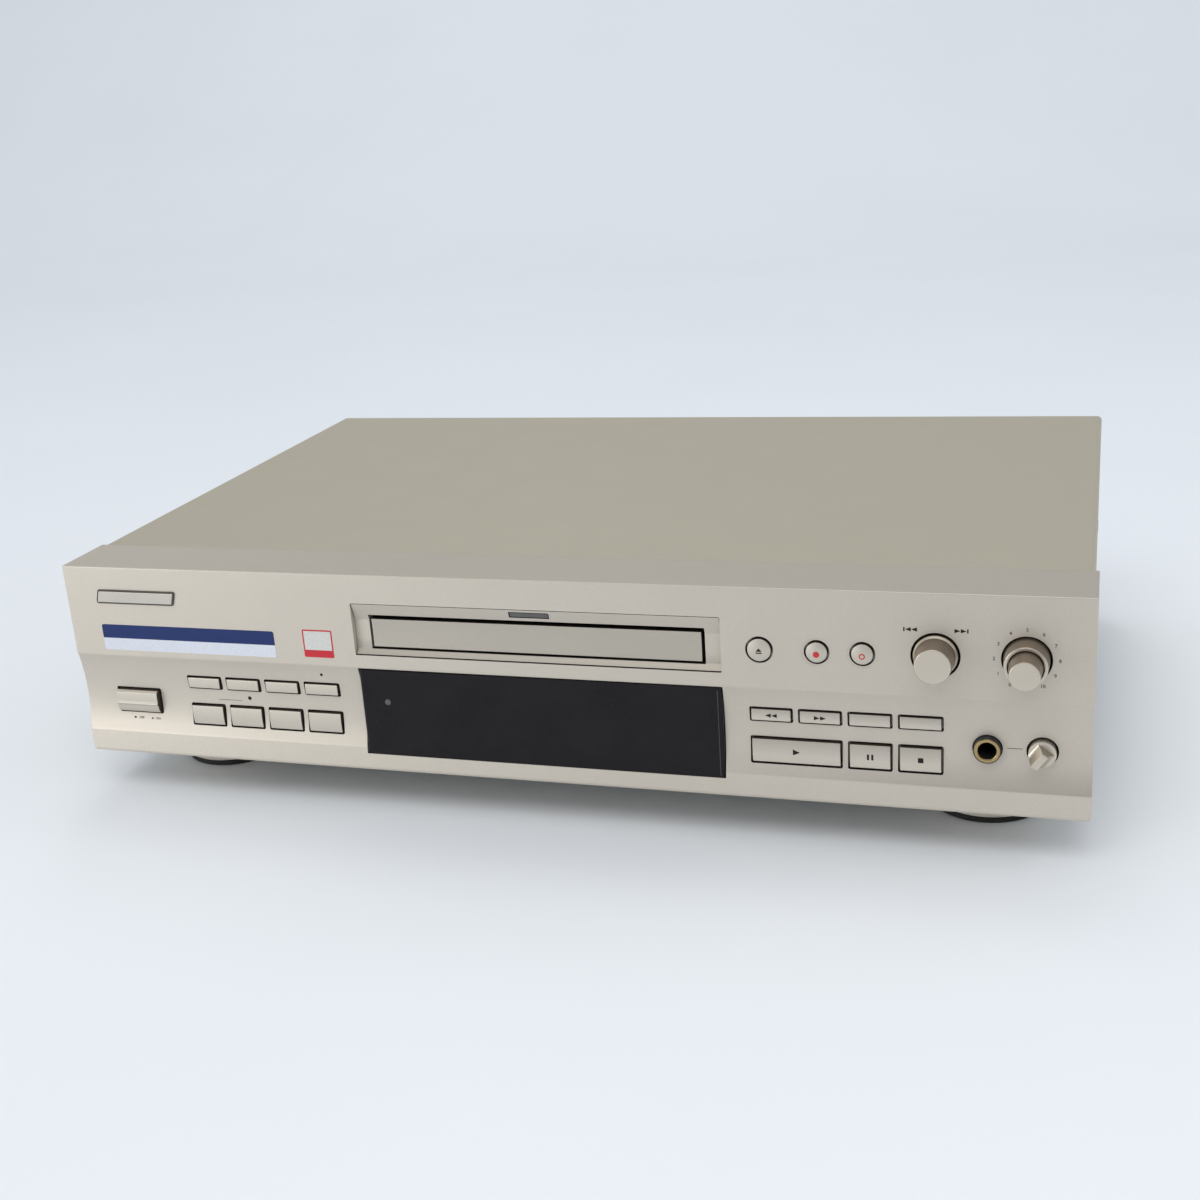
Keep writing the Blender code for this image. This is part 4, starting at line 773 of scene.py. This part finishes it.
# ------------------------------------------------------------------ knobs and headphone socket
def knobs():
    # faces not turned to the front take the dark copy: painted shade on the sides
    def side(c, n):
        return -0.45 < n.y
    at = (DIGITAL_X, YF, up(KNOB_DOWN))
    shape = fillet([(0, 11.2), (6.5, 11.2), (7.28, 1.5), (7.95, 0.55), (7.95, -2.0), (3.0, -2.0), (3.0, -12.0), (0, -12.0)],
                   [0, 0.38, 0.25, 0.35, 0, 0, 0, 0], 4, closed=False)
    place("digital_level_cap", lathe(shape, at, "-Y", 96), KNOB, body="digital_level_knob", stands_for=("digital_level_knob",),
          behind=KNOB_SIDE_SHADE, is_behind=side)

    at = (ANALOG_X, YF, up(KNOB_DOWN))
    shape = fillet([(6.4, 7.9), (7.6, 7.9), (8.2, -2.0), (3.8, -2.0), (3.8, -12.0), (2.6, -12.0), (2.6, 3.0), (6.4, 3.0)],
                   [0.12, 0.35, 0, 0, 0, 0, 0, 0], 4)
    place("analog_ring_cap", lathe(shape, at, "-Y", 96, closed=True), KNOB, body="analog_outer_knob", stands_for=("analog_outer_knob",),
          behind=KNOB_SIDE_SHADE, is_behind=side)
    shape = fillet([(0, 16.5), (5.35, 16.5), (5.9, 8.2), (5.9, 3.5), (2.2, 3.5), (2.2, -12.0), (0, -12.0)],
                   [0, 0.36, 0.3, 0, 0, 0, 0], 4, closed=False)
    place("analog_centre_cap", lathe(shape, at, "-Y", 80), KNOB, body="analog_inner_knob", stands_for=("analog_inner_knob",),
          behind=KNOB_SIDE_SHADE, is_behind=side)

    # the small knob is a short cylinder scooped away on both sides of a grip, which stops just past its middle
    at = (LEVEL_X, YF, up(JACK_DOWN))
    shape = fillet([(0, 4.5), (4.9, 4.5), (4.9, -6.0), (2.2, -6.0), (2.2, -12.2), (0, -12.2)], [0, 0.3, 0, 0, 0, 0], 3, closed=False)
    knob = lathe(shape, at, "-Y", 72)
    a = math.radians(235)
    along, across = Vector((math.cos(a), 0, math.sin(a))), Vector((-math.sin(a), 0, math.cos(a)))
    scoops = []
    for s in (-1, 1):
        bm = bmesh.new()
        curve = []
        for k in range(13):
            t = k / 12
            curve.append((s * (1.05 + 4.6 * t), -5.6 + 5.25 * math.sin(min(1.0, t * 1.55) * math.pi / 2) ** 0.75))
        outline = [(s * 1.05, -9.0)] + curve + [(s * 7.5, curve[-1][1]), (s * 7.5, -9.0)]
        ends = []
        for w in (-7.0, 7.0):
            ends.append([bm.verts.new(Vector(at) * MM + (along * w + across * u + Vector((0, y, 0))) * MM) for u, y in outline])
        for k in range(len(outline)):
            j = (k + 1) % len(outline)
            bm.faces.new((ends[0][k], ends[0][j], ends[1][j], ends[1][k]))
        bm.faces.new(ends[0])
        bm.faces.new(ends[1])
        scoops.append(to_mesh(bm))
    bm = bmesh.new()
    ends = []
    for u in (-7.3, 7.3):
        ends.append([bm.verts.new(Vector(at) * MM + (along * w + across * u + Vector((0, y, 0))) * MM)
                     for w, y in ((-1.2, -9.0), (-2.4, -0.47), (-7.4, -0.47), (-7.4, -9.0))])
    for k in range(4):
        j = (k + 1) % 4
        bm.faces.new((ends[0][k], ends[0][j], ends[1][j], ends[1][k]))
    bm.faces.new(ends[0])
    bm.faces.new(ends[1])
    scoops.append(to_mesh(bm))
    knob = rounded(cut(knob, *scoops), 0.16, 2, 40)
    place("phones_level_cap", knob, KNOB, body="phones_level_knob", stands_for=("phones_level_knob",))

    at = (JACK_X, YF, up(JACK_DOWN))
    thread = [(5.0 - 0.22 * (k % 2), -1.0 - 0.45 * k) for k in range(12)]
    collar = [(4.72, 0.18), (4.88, 0.30), (5.0, 0.12), (5.0, -0.6)] + thread + [(5.0, -6.6), (5.0, -8.5), (6.4, -8.5), (6.4, -32.0), (3.3, -32.0), (3.3, -0.55), (4.72, -0.55)]
    body = lathe(collar, at, "-Y", 64, closed=True)
    body = join(body, box((JACK_X - 7.5, JACK_X + 7.5), (YF + 29.0, YF + 34.0), (up(JACK_DOWN) - 7.5, up(JACK_DOWN) + 7.5), 0.4))
    place("phones_socket_body", body, BLACK, stands_for=("phones_jack",))
    gilt = fillet([(3.3, -0.5), (3.3, 0.28), (4.70, 0.28), (4.70, -0.5)], [0, 0.4, 0.2, 0], 4)
    place("phones_socket_ring", lathe(gilt, at, "-Y", 64, closed=True), GOLD)


knobs()


# ------------------------------------------------------------------ print, labels and plaque
def decal(name, outlines, surface, mat, body="cabinet", thick=0.035, split=0.8):
    """Flat shapes laid on a curved face. Each outline is in mm across and mm below the top."""
    bm = bmesh.new()
    for points in outlines:
        hole = None
        if isinstance(points, dict):
            points, hole = points["ring"], points["hole"]
        outer = [bm.verts.new((x * MM, 0, up(d) * MM)) for x, d in points]
        if hole:
            inner = [bm.verts.new((x * MM, 0, up(d) * MM)) for x, d in hole]
            for k in range(len(outer)):
                j = (k + 1) % len(outer)
                bm.faces.new((outer[k], outer[j], inner[j], inner[k]))
        else:
            bm.faces.new(outer)
    downs = [d for o in outlines for _, d in (o["ring"] if isinstance(o, dict) else o)]
    at = math.floor(min(downs)) + split
    while at < max(downs):
        bmesh.ops.bisect_plane(bm, geom=bm.verts[:] + bm.edges[:] + bm.faces[:], plane_co=(0, 0, up(at) * MM), plane_no=(0, 0, 1), dist=1e-8)
        at += split
    return lay(name, bm, surface, mat, body, thick)


def lay(name, bm, surface, mat, body, thick):
    bmesh.ops.remove_doubles(bm, verts=bm.verts, dist=1e-8)
    bm.normal_update()
    for f in bm.faces:
        if f.normal.y > 0:
            f.normal_flip()
    faces = bm.faces[:]
    made = bmesh.ops.extrude_face_region(bm, geom=faces)
    front = {g for g in made["geom"] if isinstance(g, bmesh.types.BMVert)}
    for v in bm.verts:
        x, down = v.co.x / MM, up(v.co.z / MM)
        v.co.y = (surface(x, down) - (thick if v in front else -0.02)) * MM
    mesh = to_mesh(bm)
    return place(name, mesh, mat, body=body, angle=40)


def panel_face(x, down):
    return YF + depth(down)


def cap_face(name):
    return lambda x, down: YF + cap_depth(name, x, down)


def dome_face(name):
    (cx, cd, r), proud = ROUND_BUTTONS[name]
    return lambda x, down: YF - proud + 0.62 * ((math.hypot(x - cx, down - cd)) / (r - GAP)) ** 2


def lettering(text, x, down, size, centre=True):
    """The outlines of generic text as a mesh in the panel's plane: (bmesh faces added later)."""
    curve = bpy.data.curves.new("text", "FONT")
    curve.body = text
    curve.size = size * MM
    curve.align_x = "CENTER" if centre else "LEFT"
    curve.align_y = "CENTER"
    curve.resolution_u = 3
    curve.offset = 0.04 * MM
    obj = bpy.data.objects.new("text", curve)
    bpy.context.scene.collection.objects.link(obj)
    mesh = settle(obj)
    bpy.data.curves.remove(curve)
    mesh.transform(Matrix.Translation((x * MM, 0, up(down) * MM)) @ Matrix.Rotation(math.pi / 2, 4, "X"))
    return mesh


def letter_piece(name, meshes, surface, mat, body="cabinet"):
    bm = bmesh.new()
    for m in meshes:
        bm.from_mesh(m)
    return lay(name, bm, surface, mat, body, 0.03)


def triangle(x, d, w, h, way):
    """A play-shaped mark; way is 1 to the right, -1 to the left."""
    return [(x - way * w / 2, d - h / 2), (x + way * w / 2, d), (x - way * w / 2, d + h / 2)]


def bar(x0, x1, d0, d1):
    return [(x0, d0), (x1, d0), (x1, d1), (x0, d1)]


def marks():
    # transport marks on the button faces
    def on(name, outlines, mat=PRINT_DARK):
        decal(name + "_mark", outlines, cap_face(name), mat, body=name)
    on("search_back_button", [triangle(92.9, 51.4, 2.2, 1.7, -1), triangle(95.2, 51.4, 2.2, 1.7, -1)])
    on("search_forward_button", [triangle(111.4, 51.4, 2.2, 1.7, 1), triangle(113.7, 51.4, 2.2, 1.7, 1)])
    on("play_button", [triangle(103.4, 65.9, 2.7, 2.4, 1)])
    on("pause_button", [bar(129.85, 130.65, 64.8, 67.1), bar(131.45, 132.25, 64.8, 67.1)])
    on("stop_button", [bar(148.55, 150.55, 64.95, 66.95)])
    decal("eject_button_mark", [[(89.6, 24.75), (90.7, 23.5), (91.8, 24.75)], bar(89.6, 91.8, 25.15, 25.6)], dome_face("eject_button"), PRINT_DARK, body="eject_button", thick=0.10)
    decal("record_button_mark", [ring(112.1, 25.0, 1.2, 32)], dome_face("record_button"), PRINT_RED, body="record_button", thick=0.10)
    decal("record_mute_button_mark", [{"ring": ring(128.8, 25.0, 1.15, 40), "hole": ring(128.8, 25.0, 0.72, 40)}], dome_face("record_mute_button"), PRINT_RED,
          body="record_mute_button", thick=0.08)
    # marks printed on the panel
    skip = [bar(143.55, 144.05, 13.2, 14.8), triangle(145.2, 14.0, 2.1, 1.6, -1), triangle(147.4, 14.0, 2.1, 1.6, -1),
            triangle(162.6, 14.0, 2.1, 1.6, 1), triangle(164.8, 14.0, 2.1, 1.6, 1), bar(165.95, 166.45, 13.2, 14.8)]
    skip += [ring(-93.5, 44.5, 0.65, 24), ring(-129.5, 57.5, 0.85, 24)]
    decal("panel_marks", skip, panel_face, PRINT_DARK)
    thin = [bar(180.2, 185.6, 59.35, 59.6), bar(-144.6, -133.4, 58.75, 58.95)]
    decal("panel_lines", thin, panel_face, PRINT)
    # the analogue level's scale, 0 to 10 over 300 degrees
    figures = []
    for n in range(11):
        a = math.radians(-150 + 30 * n)
        figures.append(lettering(str(n), ANALOG_X + 11.3 * math.sin(a), KNOB_DOWN - 11.3 * math.cos(a), 1.9))
    letter_piece("level_scale_figures", figures, panel_face, PRINT)
    # the power key's two states
    words = [lettering("OFF", -183.9, 69.35, 1.45), lettering("ON", -175.7, 69.35, 1.45)]
    letter_piece("power_state_words", words, panel_face, PRINT)
    decal("power_state_marks", [bar(-187.6, -186.6, 68.9, 69.7), [(-179.1, 69.7), (-178.5, 68.8), (-177.9, 69.7)]], panel_face, PRINT_DARK)


marks()


def labels():
    """Blank adhesive labels and a blank plaque."""
    blue = rect(-195.0, -112.5, 25.8, 31.9, 0.0)
    blue = fillet([(-195.0, 25.8), (-112.5, 25.8), (-112.5, 31.9), (-195.0, 31.9)], [0.9, 0.9, 0, 0], 4)
    white = fillet([(-195.0, 31.9), (-112.5, 31.9), (-112.5, 37.3), (-195.0, 37.3)], [0, 0, 0.9, 0.9], 4)
    decal("long_label_band", [blue], panel_face, LABEL_BLUE, thick=0.10, split=3.0)
    decal("long_label_base", [white], panel_face, LABEL_WHITE, thick=0.10, split=3.0)
    edge = fillet([(-99.2, 24.3), (-85.8, 24.3), (-85.8, 36.3), (-99.2, 36.3)], 0.5, 3)
    inner = shrunk(edge, 0.55)
    decal("square_label_border", [{"ring": edge, "hole": inner}], panel_face, LABEL_RED, thick=0.09, split=3.0)
    decal("square_label_face", [[(-98.6, 24.9), (-86.4, 24.9), (-86.4, 33.1), (-98.6, 33.1)]], panel_face, LABEL_PALE, thick=0.085, split=3.0)
    decal("square_label_band", [[(-98.65, 33.1), (-86.35, 33.1), (-86.35, 35.75), (-98.65, 35.75)]], panel_face, LABEL_RED, thick=0.088, split=3.0)
    # plaque: a bright bar in a dark frame
    frame_shape = fillet([(-195.4, up(16.2)), (-157.9, up(16.2)), (-156.3, up(10.0)), (-193.8, up(10.0))], 0.9, 4)
    base = prism(frame_shape, "Y", YF - 0.55, YF + 0.02, soft=0.15, soft_high=False)
    place("plaque_frame", base, DARK)
    top = shrunk(frame_shape, 0.70)
    place("plaque_face", prism(top, "Y", YF - 0.85, YF - 0.50, soft=0.18, soft_high=False), BRIGHT)


labels()


# ------------------------------------------------------------------ cover, screws, rear panel
def screw_head(x, y, z, facing, r=2.9, high=1.15, rim=0.25):
    """A pan head with a cross recess."""
    profile = [(0, high)] + [(r * math.sin(t), high - (high - rim) * (1 - math.cos(t)) ** 1.2) for t in (math.radians(v) for v in range(20, 91, 14))]
    profile += [(r, rim - 0.05), (r, -0.25), (0, -0.25)]
    head = lathe(profile, (0, 0, 0), "Z", 28)
    floor = max(-0.12, min(0.35, high - 0.40))
    arms = [box((-1.7, 1.7), (-0.32, 0.32), (floor, 3.0)), box((-0.32, 0.32), (-1.7, 1.7), (floor, 3.0))]
    head = cut(head, *arms)
    way = {"+Y": Matrix.Rotation(-math.pi / 2, 4, "X"), "-X": Matrix.Rotation(-math.pi / 2, 4, "Y"), "+X": Matrix.Rotation(math.pi / 2, 4, "Y"),
           "-Z": Matrix.Rotation(math.pi, 4, "X")}[facing]
    return moved(head, Matrix.Translation(Vector((x, y, z)) * MM) @ way @ Matrix.Rotation(math.radians(33), 4, "Z"))


def cover():
    half, bend = 417.4 / 2, 2.2
    top, foot = HEIGHT, 21.0
    outer, inner = [], []
    for r, out, drop in ((bend, outer, 0.0), (bend - 1.0, inner, 1.0)):
        for sx, start in ((1, 0.0), (-1, math.pi / 2)):
            cx, cz = sx * (half - bend), top - bend
            out += [(cx + r * math.cos(start + k * math.pi / 16), cz + r * math.sin(start + k * math.pi / 16)) for k in range(9)]
    shape = [(half, foot)] + outer + [(-half, foot), (-half + 1.0, foot)] + list(reversed(inner)) + [(half - 1.0, foot)]
    mesh = prism(shape, "Y", YF + PANEL_WRAP + 0.3, YB, soft=0.28, steps=2)
    place("cover_sheet", mesh, COVER, stands_for=("top_cover",), angle=30)
    heads = []
    for s, facing in ((-1, "-X"), (1, "+X")):
        for y in (YF + 62.0, YB - 48.0):
            heads.append(screw_head(s * half, y, 62.0, facing, high=0.16, rim=0.06))
    for i, head in enumerate(heads):
        place("cover_screw_%d" % (i + 1), head, SCREW)


def rear():
    for node, mat in (("rear_panel", ZINC), ("bottom_chassis", ZINC)):
        nodes[node].data.materials.clear()
        nodes[node].data.materials.append(mat)
    for i, (x, z) in enumerate(((-198.0, 96.0), (-70.0, 96.5), (66.0, 96.5), (198.0, 96.0), (-198.0, 30.0), (198.0, 30.0), (122.0, 53.0))):
        place("rear_screw_%d" % (i + 1), screw_head(x, YB, z, "+Y", 2.8, 1.1), SCREW)
    # socket block: moulded housings, plated shells, coloured insulators
    board_y = YB - 15.0
    block = box((68, 172), (board_y, board_y + 1.6), (33, 73))
    place("rear_socket_board", block, BOARD, stands_for=("rear_jack_block",))
    for i, (x0, x1) in enumerate(((97.5, 110.5), (133.5, 164.5))):
        place("rear_socket_housing_%d" % (i + 1), box((x0, x1), (board_y + 1.6, YB - 1.5), (36.5, 69.5), 0.6), BLACK)
    for i, (x, z) in enumerate(((104.0, 62.0), (104.0, 44.0), (140.0, 62.0), (140.0, 44.0), (158.0, 62.0), (158.0, 44.0))):
        shell = fillet([(4.1, -1.6), (4.1, 3.5), (3.2, 3.5), (3.2, -0.4), (3.2, -1.6)], [0, 0.25, 0.2, 0, 0], 3)
        place("socket_shell_%d" % (i + 1), lathe(shell, (x, YB, z), "+Y", 40, closed=True), NICKEL)
        flange = fillet([(4.1, -1.5), (4.7, -1.5), (4.7, 0.35), (4.1, 0.35)], [0, 0, 0.2, 0], 3)
        place("socket_collar_%d" % (i + 1), lathe(flange, (x, YB, z), "+Y", 40, closed=True), RED if z < 50 else WHITE)
        core = fillet([(1.6, -1.5), (3.2, -1.5), (3.2, 2.7), (1.6, 2.7)], [0, 0, 0.2, 0.3], 3)
        place("socket_core_%d" % (i + 1), lathe(core, (x, YB, z), "+Y", 32, closed=True), RED if z < 50 else WHITE)
    for i, (x, z) in enumerate(((80.0, 62.0), (80.0, 44.0))):
        body = cut(box((x - 5.6, x + 5.6), (board_y + 1.6, YB + 1.0), (z - 5.6, z + 5.6), 0.5),
                   prism(fillet([(x - 3.9, z - 3.9), (x + 3.9, z - 3.9), (x + 3.9, z + 3.9), (x - 3.9, z + 3.9)], [0, 0, 1.4, 1.4], 4), "Y", YB - 7.0, YB + 5))
        place("optical_socket_%d" % (i + 1), body, BLACK)
        place("optical_window_%d" % (i + 1), lathe([(0, -6.4), (1.0, -6.4), (1.2, -6.6), (1.2, -7.1), (0, -7.1)], (x, YB, z), "+Y", 24), SENSOR)
    # mains inlet
    x, z = -172.0, 50.0
    oval = fillet([(x - 7.8, z - 4.3), (x + 7.8, z - 4.3), (x + 7.8, z + 4.3), (x - 7.8, z + 4.3)], 3.2, 6)
    body = cut(box((x - 11.5, x + 11.5), (YB - 19.0, YB + 1.2), (z - 7.5, z + 7.5), 0.6), prism(oval, "Y", YB - 13.0, YB + 5))
    place("inlet_housing", body, BLACK, stands_for=("ac_inlet",))
    for s in (-1, 1):
        pin = lathe(fillet([(0, 11.0), (1.2, 11.0), (1.2, 0), (0, 0)], [0, 0.7, 0, 0], 4, closed=False), (x + s * 4.3, YB - 14.0, z), "+Y", 24)
        place("inlet_pin_%s" % ("left" if s < 0 else "right"), pin, BRASS)


cover()
rear()


# ------------------------------------------------------------------ feet
def feet():
    places = {"front_left": (-FOOT_X, FOOT_FRONT_Y), "front_right": (FOOT_X, FOOT_FRONT_Y), "rear_left": (-FOOT_X, FOOT_REAR_Y), "rear_right": (FOOT_X, FOOT_REAR_Y)}
    for where, (x, y) in places.items():
        shape = fillet([(0, 18.5), (21.6, 18.5), (22.7, 16.6), (23.0, 14.0), (23.0, 2.6), (0, 2.6)], [0, 0.5, 1.0, 1.0, 0.6, 0], 4, closed=False)
        place("foot_ring_" + where, lathe(shape, (x, y, 0), "Z", 72), FOOT, stands_for=("foot_" + where,))
        shape = fillet([(0, 2.3), (22.5, 2.3), (22.5, 0.0), (15.0, 0.0), (14.4, 0.6), (0, 0.6)], [0, 0.3, 0.5, 0.2, 0, 0], 3, closed=False)
        place("foot_rubber_" + where, lathe(shape, (x, y, 0), "Z", 72), RUBBER, stands_for=("foot_pad_" + where,))


feet()


# ------------------------------------------------------------------ the tray, with its edges softened
def softened(node, width, mat, body="cabinet"):
    """The model's own moulding, its sharp edges turned to small radii."""
    source = nodes[node]
    bm = bmesh.new()
    bm.from_mesh(source.data)
    bmesh.ops.transform(bm, matrix=source.matrix_world, verts=bm.verts)
    bmesh.ops.remove_doubles(bm, verts=bm.verts, dist=2e-6)
    bmesh.ops.dissolve_limit(bm, angle_limit=math.radians(1.0), verts=bm.verts[:], edges=bm.edges[:])
    return place(node + "_moulding", rounded(to_mesh(bm), width, 2, 40), mat, body=body, stands_for=(node,), angle=30)


softened("disc_tray", 0.28, GREY, body="tray")


# ------------------------------------------------------------------ inside: the model's own pieces, finished
INSIDE = {
    "display_module": BLACK, "front_circuit_board": BOARD, "main_circuit_board": BOARD, "power_transformer": CORE, "loader_frame": GREY,
    "loading_motor": ZINC, "drive_belt": RUBBER, "clamp_bridge": ZINC, "loading_gear": NATURAL, "motor_pulley": BRASS,
    "traverse_base": GREY, "spindle_motor": ZINC, "guide_rod": STEEL, "turntable": BLACK, "disc_clamper": BLACK, "optical_pickup": SLED,
    "sled_lead_screw": STEEL,
}
for node, mat in INSIDE.items():
    mesh = nodes[node].data
    mesh.materials.clear()
    mesh.materials.append(mat)


# ------------------------------------------------------------------ floor, light
def stage():
    """A pale floor that sweeps up into a backdrop."""
    bm = bmesh.new()
    line = [(-8.0, 0.0), (1.6, 0.0)] + [(1.6 + 1.4 * math.sin(t), 1.4 * (1 - math.cos(t))) for t in (math.radians(v) for v in range(6, 91, 6))] + [(3.0, 5.0)]
    sides = []
    for x in (-6.0, 6.0):
        sides.append([bm.verts.new((x, y, z)) for y, z in line])
    for k in range(len(line) - 1):
        bm.faces.new((sides[0][k], sides[1][k], sides[1][k + 1], sides[0][k + 1]))
    mesh = bpy.data.meshes.new("floor")
    bm.to_mesh(mesh)
    bm.free()
    mesh.shade_smooth()
    floor = bpy.data.objects.new("floor", mesh)
    bpy.context.scene.collection.objects.link(floor)
    k = Nodes("floor_paper")
    cloud = k.noise(3.0, 3.0)
    k.colour(k.mix(k.span(cloud, 0.0, 1.0), (0.795, 0.825, 0.860), (0.815, 0.845, 0.880)))
    k.set(Roughness=0.75)
    mesh.materials.append(k.m)


def flag(name, x, y, z, colour):
    """A card outside the picture that only the gloss of the paint mirrors."""
    bm = bmesh.new()
    corners = [bm.verts.new(v) for v in ((x[0], y, z[0]), (x[1], y, z[0]), (x[1], y, z[1]), (x[0], y, z[1]))]
    bm.faces.new(corners)
    mesh = bpy.data.meshes.new(name)
    bm.to_mesh(mesh)
    bm.free()
    card = bpy.data.objects.new(name, mesh)
    bpy.context.scene.collection.objects.link(card)
    mesh.materials.append(plastic(name, colour, 0.9))
    card.visible_camera = card.visible_diffuse = card.visible_shadow = False


def light(name, at, aim, size, power, colour=(1, 1, 1)):
    data = bpy.data.lights.new(name, "AREA")
    data.shape = "RECTANGLE"
    data.size, data.size_y = size
    data.energy = power
    data.color = colour
    obj = bpy.data.objects.new(name, data)
    obj.location = at
    obj.rotation_euler = (Vector(aim) - Vector(at)).to_track_quat("-Z", "Y").to_euler()
    bpy.context.scene.collection.objects.link(obj)
    return obj


stage()
flag("dark_card", (-0.05, 1.8), -1.00, (-0.10, 1.2), (0.030, 0.028, 0.026))
flag("upper_card", (-0.80, -0.05), -1.00, (0.14, 1.2), (0.030, 0.028, 0.026))
flag("back_card", (-3.0, 3.0), 1.90, (0.45, 3.2), (0.38, 0.37, 0.355))
light("ceiling_light", (-0.05, 0.60, 2.2), (0.0, 0.0, 0.0), (0.6, 0.5), 3.0, (1.0, 0.97, 0.93))
light("back_light", (-0.9, 1.9, 2.4), (-0.7, 2.0, 0.0), (2.2, 0.8), 6.5, (1.0, 0.985, 0.96))
light("front_light", (0.10, -1.15, 1.60), (0.05, -0.1, 0.05), (1.6, 0.9), 10.5, (1.0, 0.985, 0.96))
light("left_light", (-1.15, -1.30, 0.30), (-0.15, -0.13, 0.06), (0.7, 0.7), 9.5, (1.0, 0.99, 0.98)).visible_diffuse = False
light("right_light", (1.10, 0.05, 0.75), (0.38, 0.0, 0.0), (0.5, 0.5), 1.1).visible_glossy = False

world = bpy.data.worlds.new("studio")
world.use_nodes = True
background = world.node_tree.nodes["Background"]
background.inputs["Color"].default_value = (0.91, 0.94, 0.975, 1.0)
background.inputs["Strength"].default_value = 0.78
bpy.context.scene.world = world
bpy.context.scene.view_settings.view_transform = "Standard"
bpy.context.scene.view_settings.look = "None"
bpy.context.scene.view_settings.exposure = 0.0
